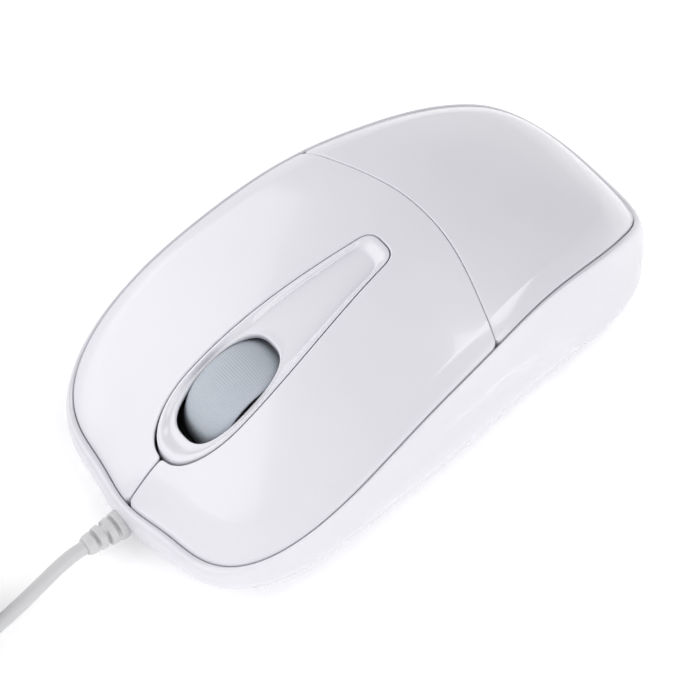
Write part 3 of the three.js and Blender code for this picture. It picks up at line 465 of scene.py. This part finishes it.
def rear_drop(y):
    """The seam dips towards the rear end, and the crown above it makes up for the dip."""
    return REAR_DROP["depth"] * np.maximum(0, (REAR_DROP["start"] - y) / REAR_DROP["run"]) ** 2


def seam_height(y):
    return polynomial(SEAM_HEIGHT, y / HALF_LENGTH) - rear_drop(y)


def surface_z(x, y):
    """Height of the smooth upper surface. It meets the seam outline at the seam's height."""
    across, along = x / SEAM_HALF_WIDTH, (y - SEAM_CENTRE) / SEAM_SCALE
    reach = np.minimum(1, np.hypot(across, along) / wave_radius(np.arctan2(across, along)))
    crown = polynomial(CROWN_HEIGHT, y / HALF_LENGTH) + rear_drop(y)
    roll = ROLL["depth"] * np.clip((reach - ROLL["start"]) / (1 - ROLL["start"]), 0, 1) ** ROLL["power"]
    return seam_height(y) + crown * (1 - reach ** CROWN_POWERS[0]) ** (1 / CROWN_POWERS[1]) + LIFT - roll


def unit(v):
    return v / np.maximum(np.linalg.norm(v, axis=-1, keepdims=True), 1e-12)


def surface_normal(x, y, step=0.05):
    dx = (surface_z(x + step, y) - surface_z(x - step, y)) / (2 * step)
    dy = (surface_z(x, y + step) - surface_z(x, y - step)) / (2 * step)
    return unit(np.stack([-dx, -dy, np.ones_like(dx)], -1))


def around_outline(values, angle):
    """A value given at the sides, front, rear and front corners, blended round the outline."""
    c = np.cos(angle)
    side, front, rear = values["side"], values["front"], values["rear"]
    near_corner = 1.5 * np.sqrt(3) * np.maximum(0, c) * np.sin(angle) ** 2
    along = ((front + rear - 2 * side) / 2) * c * c + ((front - rear) / 2) * c
    return side + along + values["front_corner"] * near_corner


def flare_at(angle):
    x = seam_curve(angle)[..., 0]
    flat = FRONT_FLAT["depth"] * np.exp(-((x / FRONT_FLAT["half_width"]) ** 2))
    return around_outline(FLARE, angle) - np.where(np.cos(angle) > 0, flat, 0)


def arc_seam_y(x):
    u = x / ARC_SEAM["reference"]
    return ARC_SEAM["centre"] + ARC_SEAM["bow"] * u**2 + ARC_SEAM["ease"] * u**4


def trim_y(angle):
    """Places along the trim from its front, at angle 0, to its rear, at pi, closer together near both."""
    return (TRIM["front"] + TRIM["rear"]) / 2 + (TRIM["front"] - TRIM["rear"]) / 2 * np.cos(angle)


def trim_half_width(y):
    """Half-width of the teardrop trim, with rounded ends."""
    front = np.clip((y - TRIM["front_round"]) / (TRIM["front"] - TRIM["front_round"]), 0, 1)
    rear = np.clip((TRIM["rear_round"] - y) / (TRIM["rear_round"] - TRIM["rear"]), 0, 1)
    front_share = (1 - front ** TRIM["front_power"]) ** (1 / TRIM["front_power"])
    rear_share = (1 - rear ** TRIM["rear_power"]) ** (1 / TRIM["rear_power"])
    return polynomial(TRIM_WIDTH, y) * front_share * rear_share


def offset_line(line, distance):
    """An open plan line moved to its left."""
    along = unit(np.gradient(line, axis=0))
    return line + np.stack([-along[:, 1], along[:, 0]], -1) * distance


def resample(line, count):
    """The line again with that many points, evenly spaced along it."""
    travel = np.r_[0, np.cumsum(np.linalg.norm(np.diff(line, axis=0), axis=1))]
    at = np.linspace(0, travel[-1], count)
    return np.stack([np.interp(at, travel, line[:, i]) for i in range(line.shape[1])], -1)


def crossing(first, second):
    """Two plan lines that cross: the first cut to end at the crossing, the second to start there."""
    a, b = first[:-1, None], first[1:, None]
    c, d = second[None, :-1], second[None, 1:]
    r, s = b - a, d - c
    cross = r[..., 0] * s[..., 1] - r[..., 1] * s[..., 0]
    cross = np.where(np.abs(cross) < 1e-12, 1e-12, cross)
    q = c - a
    t = (q[..., 0] * s[..., 1] - q[..., 1] * s[..., 0]) / cross
    u = (q[..., 0] * r[..., 1] - q[..., 1] * r[..., 0]) / cross
    i, j = np.argwhere((t >= 0) & (t <= 1) & (u >= 0) & (u <= 1))[0]
    point = first[i] + t[i, j] * (first[i + 1] - first[i])
    return np.vstack([first[: i + 1], point]), np.vstack([point, second[j + 1 :]])


def rounded_join(first, second, reach, steps=8):
    """Two plan lines that cross, joined by a round corner that starts that far from the crossing."""
    first, second = crossing(first, second)
    corner = first[-1]

    def cut(line):
        far = np.linalg.norm(line - corner, axis=1) > reach
        return line[far]

    first, second = cut(first), cut(second)
    t = np.linspace(0, 1, steps + 2)[1:-1, None]
    bend = (1 - t) ** 2 * first[-1] + 2 * t * (1 - t) * corner + t**2 * second[0]
    return first, bend, second


# ---- Meshes ----
def mesh_object(name, vertices, faces, normals=None):
    mesh = bpy.data.meshes.new(name)
    mesh.from_pydata((np.asarray(vertices) * MM).tolist(), [], [list(f) for f in faces])
    mesh.update()
    mesh.shade_smooth()
    if normals is not None:
        mesh.normals_split_custom_set_from_vertices(np.asarray(normals).tolist())
    obj = bpy.data.objects.new(name, mesh)
    bpy.context.collection.objects.link(obj)
    return obj


def grid_faces(rows, columns, start=0, closed=False, flip=False):
    """Quads of a grid of vertices stored row by row. A closed grid joins its last column to its first."""
    faces = []
    for i in range(rows - 1):
        for j in range(columns if closed else columns - 1):
            k = (j + 1) % columns
            upper, lower = start + i * columns, start + (i + 1) * columns
            quad = [upper + j, lower + j, lower + k, upper + k]
            faces.append(quad[::-1] if flip else quad)
    return faces


def quarter_turn():
    """The tilts of the rings that round an edge, after the flat's own."""
    return np.linspace(0, np.pi / 2, EDGE_STEPS + 1)[1:]


def edge_profile():
    """(outward, down, tilt) of each ring round a plate's edge: over the rounding, and down its wall."""
    rings = [
        (PLATE_EDGE * np.sin(tilt), PLATE_EDGE * (1 - np.cos(tilt)), tilt) for tilt in quarter_turn()
    ]
    return [*rings, (PLATE_EDGE, PLATE_DEPTH, np.pi / 2)]


def plate(name, inner, outer, closed_ends, rows):
    """A curved plate between two plan lines, with a rounded edge and a wall, and the same surface below.

    inner and outer have the same number of points. With closed_ends they meet at both ends; otherwise the
    strip's first end is an edge like the others, and its last end is left open on the line x = 0.
    """
    count = len(inner)
    spread = 1 - (1 - np.linspace(0, 1, rows)) ** 1.5
    plan = inner[None] + (outer - inner)[None] * spread[:, None, None]
    x, y = plan[..., 0], plan[..., 1]
    top = np.stack([x, y, surface_z(x, y)], -1).reshape(-1, 3)
    top_normal = surface_normal(x, y).reshape(-1, 3)
    inner_ids = list(range(count))
    outer_ids = [(rows - 1) * count + i for i in range(count)]
    start_ids = [i * count for i in range(rows)]
    if closed_ends:
        loop = inner_ids + outer_ids[-2:0:-1]
    else:
        loop = inner_ids[::-1] + start_ids[1:-1] + outer_ids
    line = top[loop][:, :2]
    if closed_ends:
        along = unit(np.roll(line, -1, axis=0) - np.roll(line, 1, axis=0))
    else:
        along = unit(np.gradient(line, axis=0))
        along[[0, -1], 1] = 0
        along = unit(along)
    outward = np.stack([along[:, 1], -along[:, 0]], -1)
    middle = plan.reshape(-1, 2).mean(0)
    if np.sum(outward * (line - middle)) < 0:
        outward = -outward
    base_z, base_normal = top[loop][:, 2], top_normal[loop]
    vertices, normals = [top], [top_normal]
    profile = edge_profile()
    for out, down, tilt in profile:
        ring = line + outward * out
        vertices.append(np.c_[ring, base_z - down])
        flat = np.c_[outward, np.zeros(len(line))]
        normals.append(unit(base_normal * np.cos(tilt) + flat * np.sin(tilt)))
    under = top - (0, 0, PLATE_DEPTH)
    vertices.append(under)
    normals.append(-top_normal)
    vertices, normals = np.vstack(vertices), np.vstack(normals)

    ring_count = len(profile)
    size = len(loop)
    rings = [loop] + [[len(top) + r * size + i for i in range(size)] for r in range(ring_count)]
    under_start = len(top) + ring_count * size
    rings.append([under_start + i for i in loop])
    faces = grid_faces(rows, count) + grid_faces(rows, count, under_start, flip=True)
    for upper, lower in zip(rings, rings[1:]):
        span = size if closed_ends else size - 1
        for i in range(span):
            k = (i + 1) % size
            faces.append([upper[i], lower[i], lower[k], upper[k]])
    return clean_plate(name, vertices, faces, normals)


def clean_plate(name, vertices, faces, normals):
    """Makes the plate's mesh: its faces face the way that its normals say, and empty faces are left out."""
    kept = []
    for face in faces:
        corners = vertices[face]
        facing = np.cross(corners[2] - corners[0], corners[3] - corners[1])
        if np.linalg.norm(facing) < 1e-9:
            continue
        same = np.dot(facing, normals[face].sum(0)) > 0
        kept.append(face if same else face[::-1])
    return mesh_object(name, vertices, kept, normals)


# ---- Upper covers ----
def arc_line(x0, x1, shift):
    """A line beside the arc seam. Past the seam's reference width it runs on level."""
    x = np.linspace(x0, x1, 160)
    side = ARC_SEAM["reference"]
    return np.stack([x, arc_seam_y(np.clip(x, -side, side)) + shift], -1)


def palm_cover():
    """The rear cover, behind the arc seam. Its two lines meet in the middle of its rounded corners."""
    arc = arc_line(0, -34, -INSET)
    rear = seam_point(np.linspace(-1.2, -np.pi, 350), -INSET)
    arc, bend, rear = rounded_join(arc, rear, CORNER)
    middle = len(bend) // 2
    arc = np.vstack([arc, bend[: middle + 1]])[::-1]
    rear = np.vstack([bend[middle:], rear])
    mirror = np.array([-1, 1])
    inner = np.vstack([arc, arc[-2::-1] * mirror])
    outer = np.vstack([rear, rear[-2::-1] * mirror])
    obj = plate("palm_cover_shell", resample(inner, 241), resample(outer, 241), closed_ends=True, rows=56)
    dress(obj, "shell_plastic")
    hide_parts("palm_cover")
    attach(obj, "root")


def front_half(side):
    """One half of the front moulding: its button plate, and its part of the bridge behind them."""
    y = trim_y(np.linspace(0, np.pi, 400))
    trim_line = np.stack([trim_half_width(y), y], -1)
    trim_line = offset_line(trim_line, INSET)
    trim_line = trim_line[trim_line[:, 0] >= 0]
    trim_line = np.vstack([trim_line, [[0, TRIM["rear"] - INSET]]])
    forward = np.clip((trim_line[:, 1] - NOSE_ROOM["start"]) / NOSE_ROOM["run"], 0, 1)
    trim_line[:, 1] += NOSE_ROOM["extra"] * forward
    split_x = SPLIT / 2 + PLATE_EDGE
    split_line = np.array([(split_x, 60 - 0.25 * i) for i in range(100)])
    outline = seam_point(np.linspace(-0.3, np.pi * 0.85, 900), -INSET)
    arc = arc_line(34, 0, INSET)
    inner_join = rounded_join(split_line, trim_line, TRIM_CORNER)
    outer_join = rounded_join(split_line[::-1], outline, CORNER)
    side_join = rounded_join(outline, arc, CORNER)
    inner = np.vstack([inner_join[0][-1:], inner_join[1], inner_join[2]])
    corner = outer_join[2][0]
    outline = side_join[0]
    outline = outline[np.argmax(np.all(np.isclose(outline, corner), axis=1)) :]
    outer = np.vstack([outer_join[0][-1:], outer_join[1], outline, side_join[1], side_join[2]])
    inner, outer = resample(inner, 200), resample(outer, 200)
    mirror = np.array([side, 1])
    return inner * mirror, outer * mirror


def button(side, name, node):
    inner, outer = front_half(side)
    obj = plate(name, inner, outer, closed_ends=False, rows=48)
    dress(obj, "shell_plastic")
    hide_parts(node, "button_bridge")
    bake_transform(obj)


palm_cover()
button(-1, "left_button_shell", "left_button")
button(1, "right_button_shell", "right_button")


# ---- Centre trim ----
def slot_line(angle, grow):
    c, s = np.cos(angle), np.sin(angle)
    power = 2 / SLOT["power"]
    x = (SLOT["half_width"] + grow) * np.sign(c) * np.abs(c) ** power
    y = (SLOT["half_length"] + grow) * np.sign(s) * np.abs(s) ** power
    return np.stack([x, SLOT["y"] + y], -1)


def centre_trim():
    """The teardrop: a raised rim, a band that slopes in from it, a shallow dish, and the wheel's slot."""
    count = 360
    y = trim_y(np.linspace(0, np.pi, count // 2 + 1))
    side = np.stack([trim_half_width(y), y], -1)
    closed = np.vstack([side, side[-2:0:-1] * (-1, 1)])
    dense = resample(np.vstack([closed, closed[:1]]), count + 1)[:-1]
    along = unit(np.roll(dense, -1, axis=0) - np.roll(dense, 1, axis=0))
    outward = np.stack([along[:, 1], -along[:, 0]], -1)
    if np.sum(outward * (dense - dense.mean(0))) < 0:
        outward = -outward
    centre = np.array([0, SLOT["y"]])
    angle = np.arctan2(dense[:, 1] - centre[1], dense[:, 0] * SLOT["stretch"])
    hole = slot_line(angle, 0)
    edge = TRIM_RIM["edge"]
    rim = dense - outward * (GAP / 2 + edge)
    lip = hole + unit(hole - centre) * SLOT["edge"]
    room = np.linalg.norm(lip - rim, axis=1)
    full = TRIM_RIM["width"] + TRIM_RIM["slope"]
    band = np.minimum(full, room * TRIM_RIM["band_share"])
    points = []
    inward = unit(lip - rim)
    for k, tilt in enumerate(np.linspace(np.pi / 2, 0, EDGE_STEPS + 1)):
        plan = rim + outward * edge * np.sin(tilt)
        z = surface_z(*rim.T) + TRIM_RIM["raise"] - edge * (1 - np.cos(tilt))
        if k == 0:
            points.append(np.c_[plan, z - PLATE_DEPTH])
        points.append(np.c_[plan, z])
    for share in np.linspace(0, 1, 22)[1:]:
        plan = rim + inward * (band * share)[:, None]
        points.append(np.c_[plan, surface_z(*plan.T) + trim_profile(share * full)])
    last = rim + inward * band[:, None]
    for share in np.linspace(0, 1, 14)[1:]:
        plan = last + (lip - last) * share
        points.append(np.c_[plan, surface_z(*plan.T) + trim_profile(full)])
    for tilt in quarter_turn():
        plan = lip + (hole - lip) * np.sin(tilt)
        drop = SLOT["edge"] * (1 - np.cos(tilt))
        points.append(np.c_[plan, surface_z(*lip.T) + trim_profile(full) - drop])
    points.append(np.c_[hole, surface_z(*hole.T) - SLOT["wall"]])
    flange = hole + unit(hole - centre) * SLOT["flange"]
    points.append(np.c_[flange, surface_z(*hole.T) - SLOT["wall"]])
    faces = grid_faces(len(points), count, closed=True, flip=True)
    obj = mesh_object("centre_trim_shell", np.vstack(points), faces)
    recalculate(obj)
    dress(obj, "shell_plastic")
    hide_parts("centre_trim")
    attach(obj, "root")


def trim_profile(distance):
    """Height of the trim over the smooth surface, that far in from its edge."""
    t = np.clip((distance - TRIM_RIM["width"] * 0.5) / TRIM_RIM["slope"], 0, 1)
    fall = t * t * (3 - 2 * t)
    return TRIM_RIM["raise"] - (TRIM_RIM["raise"] + TRIM_RIM["dish"]) * fall


def recalculate(obj):
    """Welds doubled points and turns all faces outwards."""
    mesh = bmesh.new()
    mesh.from_mesh(obj.data)
    bmesh.ops.remove_doubles(mesh, verts=mesh.verts, dist=1e-7)
    bmesh.ops.recalc_face_normals(mesh, faces=mesh.faces)
    mesh.to_mesh(obj.data)
    mesh.free()
    obj.data.shade_smooth()


centre_trim()


# ---- Base shell ----
def wall_point(angle, run):
    """The base's outer wall, as its offset from the seam outline and its height.

    A run of 0 is at the floor, 1 at the wall's widest, the belly, and 2 at the lip.
    """
    y = seam_curve(angle)[..., 1]
    rim_z = seam_height(y)
    belly_z = rim_z * (BELLY["height"] + BELLY["rise"] * y / HALF_LENGTH)
    flare = flare_at(angle)
    if run <= 1:
        tuck = around_outline(TUCK, angle)
        across = np.sin(run * np.pi / 2) ** (2 / BELLY["power_below"])
        up = 1 - np.cos(run * np.pi / 2) ** (2 / BELLY["power_below"])
        return tuck + (flare - tuck) * across, BOTTOM_Z + (belly_z - BOTTOM_Z) * up
    power = BELLY["power_above"] + BELLY["power_at_sides"] * np.sin(angle) ** 2
    turn = (run - 1) * np.pi / 2
    across, up = np.maximum(np.cos(turn), 0) ** (2 / power), np.sin(turn) ** (2 / power)
    lip = SEAM_GAP / 2 + LIP_EDGE
    return lip + (flare - lip) * across, belly_z + (rim_z - LIP_DROP - belly_z) * up


def grip_depth(angle, z):
    """How far in the grip panel lies, under each side's crease, which dips to the floor at the rear."""
    y = seam_curve(angle)[..., 1]
    dip = np.clip((GRIP["dip_start"] - y) / GRIP["dip_run"], 0, 1)
    crease_z = GRIP["z"] * (1 - dip ** GRIP["power"])
    fade = np.clip((GRIP["front"] - y) / GRIP["fade"], 0, 1)
    below = np.clip((crease_z - z) / np.maximum(crease_z, 1), 0, 1)
    low = np.clip(crease_z / GRIP["low"], 0, 1)
    return GRIP["depth"] * fade * low * np.sin(np.sqrt(below) * np.pi)


def base_shell():
    """The base: its underside, outer wall, lip, inner wall and floor. Its openings are cut afterwards."""
    count = 360
    angle = np.linspace(0, 2 * np.pi, count, endpoint=False)
    rim_z = seam_height(seam_curve(angle)[:, 1])
    rings = []
    floor_line = seam_point(angle, wall_point(angle, 0)[0])
    centre = np.array([0, SEAM_CENTRE])
    for share in (0.02, 0.25, 0.5, 0.75, 0.9):
        rings.append(np.c_[centre + (floor_line - centre) * share, np.full(count, BOTTOM_Z)])
    for run in np.r_[np.linspace(0, 1, 20), np.linspace(1, 2, 40)[1:]]:
        offset, z = wall_point(angle, run)
        rings.append(np.c_[seam_point(angle, offset - grip_depth(angle, z)), z])
    for tilt in quarter_turn():
        plan = seam_point(angle, np.full(count, SEAM_GAP / 2 + LIP_EDGE * (1 - np.sin(tilt))))
        rings.append(np.c_[plan, rim_z - LIP_DROP - LIP_EDGE * (1 - np.cos(tilt))])
    plan = seam_point(angle, np.full(count, SEAM_GAP / 2))
    rings.append(np.c_[plan, rim_z - LIP_DEPTH])
    inner = seam_point(angle, np.full(count, -LEDGE))
    rings.append(np.c_[inner, rim_z - LIP_DEPTH])
    wall = wall_point(angle, BASE_WALL["run"])[0] - BASE_WALL["thickness"]
    inside = seam_point(angle, np.minimum(wall, -LEDGE))
    rings.append(np.c_[inside, np.full(count, FLOOR_Z)])
    rings.append(np.c_[centre + (inside - centre) * 0.02, np.full(count, FLOOR_Z)])
    obj = mesh_object("base_shell_skin", np.vstack(rings), grid_faces(len(rings), count, closed=True))
    close_ends(obj)
    recalculate(obj)
    dress(obj, "shell_plastic")
    return obj


def close_ends(obj):
    """Fills the small holes in the middle of the floor."""
    mesh = bmesh.new()
    mesh.from_mesh(obj.data)
    bmesh.ops.holes_fill(mesh, edges=[e for e in mesh.edges if e.is_boundary], sides=0)
    mesh.to_mesh(obj.data)
    mesh.free()


def cut_away(obj, outlines):
    """Cuts upright holes: each is a closed plan outline with the heights that it runs between."""
    for outline, low, high in outlines:
        count = len(outline)
        walls = np.vstack([np.c_[outline, np.full(count, low)], np.c_[outline, np.full(count, high)]])
        faces = grid_faces(2, count, closed=True)
        faces += [list(range(count))[::-1], list(range(count, 2 * count))]
        cutter = mesh_object("cutter", walls, faces)
        recalculate(cutter)
        hole = obj.modifiers.new("hole", "BOOLEAN")
        hole.object = cutter
        hole.operation = "DIFFERENCE"
        hole.solver = "EXACT"
        view = bpy.context.evaluated_depsgraph_get()
        finished = bpy.data.meshes.new_from_object(obj.evaluated_get(view))
        obj.modifiers.clear()
        obj.data = finished
        bpy.data.objects.remove(cutter, do_unlink=True)


def oval(x, y, half_width, half_length, power=2.0, turn=0.0):
    """A closed plan outline round a place: an ellipse, or a squarer one with a higher power."""
    angle = np.linspace(0, 2 * np.pi, 48, endpoint=False)
    c, s = np.cos(angle), np.sin(angle)
    across = half_width * np.sign(c) * np.abs(c) ** (2 / power)
    along = half_length * np.sign(s) * np.abs(s) ** (2 / power)
    turned_x = across * np.cos(turn) - along * np.sin(turn)
    turned_y = across * np.sin(turn) + along * np.cos(turn)
    return np.stack([turned_x, turned_y], -1) + (x, y)


base = base_shell()
window = oval(0, WINDOW["y"], WINDOW["half_width"], WINDOW["half_length"])
screw_hole = oval(0, SCREW_RECESS["y"], SCREW_RECESS["radius"], SCREW_RECESS["radius"])
pockets = [
    (oval(x, y, FOOT["half_width"], FOOT["half_length"], 3.0, turn), 0, FOOT["pocket_top"])
    for x, y, turn in FOOT["places"]
]
cut_away(base, [(window, 0, 4), (screw_hole, 0, 4), *pockets])
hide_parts("base_shell")
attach(base, "root")


# ---- Scroll wheel ----
def wheel_tyre():
    """A barrel-shaped rubber tyre with fine ribs across it."""
    count = TYRE["ribs"] * 6
    angle = np.linspace(0, 2 * np.pi, count, endpoint=False)
    wave = TYRE["rib_depth"] * (1 - np.abs(np.cos(angle * TYRE["ribs"] / 2)) ** 0.7)
    half, radius, inner = TYRE["half_width"], TYRE["radius"], TYRE["inner"]
    rings = []
    across = np.sin(np.linspace(-np.pi / 2, np.pi / 2, 25))
    for t in across:
        drop = TYRE["crown"] * np.abs(t) ** 3 + TYRE["shoulder"] * np.abs(t) ** 14
        r = radius - drop - wave * (1 - t**6)
        rings.append(np.stack([np.full(count, half * t), r * np.cos(angle), r * np.sin(angle)], -1))
    for x in (half, -half):
        rings.append(np.stack([np.full(count, x), inner * np.cos(angle), inner * np.sin(angle)], -1))
    rings.append(rings[0])
    points = np.vstack(rings) + (0, WHEEL_Y, WHEEL_Z)
    obj = mesh_object("wheel_tyre_ribbed", points, grid_faces(len(rings), count, closed=True))
    recalculate(obj)
    dress(obj, "wheel_rubber")
    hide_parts("wheel_tyre")
    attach(obj, "wheel")


wheel_tyre()


# ---- Strain relief ----
def strain_relief():
    """A tapered sleeve with slots cut in turn from its sides, above and below."""
    count = 96
    angle = np.linspace(0, 2 * np.pi, count, endpoint=False)
    start, end = RELIEF["start"], RELIEF["end"]
    pitch = (end - start) / (GROOVE["count"] + 1)

    def ring(radius, at):
        return np.stack([radius * np.cos(angle), np.full(count, at), CORD_EXIT_Z + radius * np.sin(angle)], -1)

    def groove_depth(groove, at):
        middle = start + groove * pitch - GROOVE["back"]
        near = np.clip(1 - np.abs(at - middle) / GROOVE["half_width"], 0, 1)
        depth = GROOVE["depth"] * np.clip(near * GROOVE["steepness"], 0, 1)
        return depth * np.clip(1.8 * np.abs(np.cos(angle + groove * np.pi / 2)) - 0.25, 0, 1)

    sleeve = []
    for at in np.linspace(start, end, 130):
        share = (at - start) / (end - start)
        radius = RELIEF["collar"] + (RELIEF["tip"] - RELIEF["collar"]) * share
        radius -= RELIEF["rounding"] * np.exp(-((at - start) / 0.25))
        radius -= RELIEF["rounding"] * np.exp(-((end - at) / 0.25))
        cut = sum(groove_depth(groove, at) for groove in range(1, GROOVE["count"] + 1))
        sleeve.append(ring(radius - cut, at))
    neck, flange = RELIEF["neck"], RELIEF["flange"]
    back, front = RELIEF["flange_back"], RELIEF["flange_front"]
    inside = [ring(0.02, back), ring(flange, back), ring(flange, front), ring(neck, front), ring(neck, start)]
    rings = inside + sleeve + [ring(1.4, end), ring(0.02, end - 0.2)]
    obj = mesh_object("strain_relief_sleeve", np.vstack(rings), grid_faces(len(rings), count, closed=True))
    close_ends(obj)
    recalculate(obj)
    dress(obj, "cord_jacket")
    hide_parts("strain_relief")
    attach(obj, "root")
    return obj


relief = strain_relief()


# ---- CAD nodes that are shown, softened at their edges ----
def soften(node, width):
    """Rounds a CAD node's sharp edges, in millimetres."""
    obj = frame["nodes"][node]
    bevel = obj.modifiers.new("edges", "BEVEL")
    bevel.width = width * MM
    bevel.segments = 3
    bevel.limit_method = "ANGLE"
    bevel.angle_limit = np.radians(40)
    bevel.harden_normals = True
    obj.data.shade_smooth()


def dress_cad_nodes():
    for part in frame["record"]["subparts"]:
        obj = frame["nodes"][part["node"]]
        obj.data.materials.clear()
        obj.data.materials.append(MATERIALS[part["material_slot"]])


dress_cad_nodes()
for piece in ("usb_overmould", "cord_tie"):
    soften(piece, 0.4)
soften("usb_shell", 0.15)
for piece in ("front_left_foot", "front_right_foot", "rear_left_foot", "rear_right_foot"):
    soften(piece, 0.2)


# ---- Floor, light and background ----
def make_floor():
    bpy.ops.mesh.primitive_plane_add(size=6, location=(0, 0, 0))
    floor = bpy.context.object
    floor.name = "floor"
    material, nodes, links, shader = new_material("floor_paper")
    slow = noise(nodes, links, 3, 2.0)
    links.new(tint(nodes, links, slow, (0.93, 0.93, 0.935), (0.95, 0.95, 0.955)), shader.inputs["Base Color"])
    shader.inputs["Roughness"].default_value = 0.9
    shader.inputs["Emission Color"].default_value = (1, 1, 1, 1)
    shader.inputs["Emission Strength"].default_value = 0.2
    floor.data.materials.append(material)


def area_light(name, place, size, power):
    """A soft box aimed at the mouse."""
    data = bpy.data.lights.new(name, "AREA")
    data.shape = "RECTANGLE"
    data.size, data.size_y = size
    data.energy = power
    light = bpy.data.objects.new(name, data)
    light.location = place
    aim = Vector((0, 0, 0.015)) - light.location
    light.rotation_euler = aim.to_track_quat("-Z", "Y").to_euler()
    bpy.context.collection.objects.link(light)


def make_studio():
    """A white studio whose walls are brighter than its ceiling, most of all in front and to the right."""
    world = bpy.data.worlds.new("studio")
    world.use_nodes = True
    nodes, links = world.node_tree.nodes, world.node_tree.links
    place = nodes.new("ShaderNodeTexCoord")
    height = nodes.new("ShaderNodeVectorMath")
    height.operation = "DOT_PRODUCT"
    height.inputs[1].default_value = STUDIO["tilt"]
    spread = nodes.new("ShaderNodeMapRange")
    spread.interpolation_type = "SMOOTHSTEP"
    spread.inputs["From Min"].default_value, spread.inputs["From Max"].default_value = STUDIO["from"]
    spread.inputs["To Min"].default_value = STUDIO["walls"]
    spread.inputs["To Max"].default_value = STUDIO["ceiling"]
    links.new(place.outputs["Generated"], height.inputs[0])
    links.new(height.outputs["Value"], spread.inputs["Value"])
    links.new(spread.outputs["Result"], nodes["Background"].inputs["Strength"])
    nodes["Background"].inputs["Color"].default_value = (1, 1, 1, 1)
    bpy.context.scene.world = world
    bpy.context.scene.view_settings.view_transform = "Standard"
    for name, light in LIGHTS.items():
        area_light(name, light["place"], light["size"], light["power"])


make_floor()
make_studio()
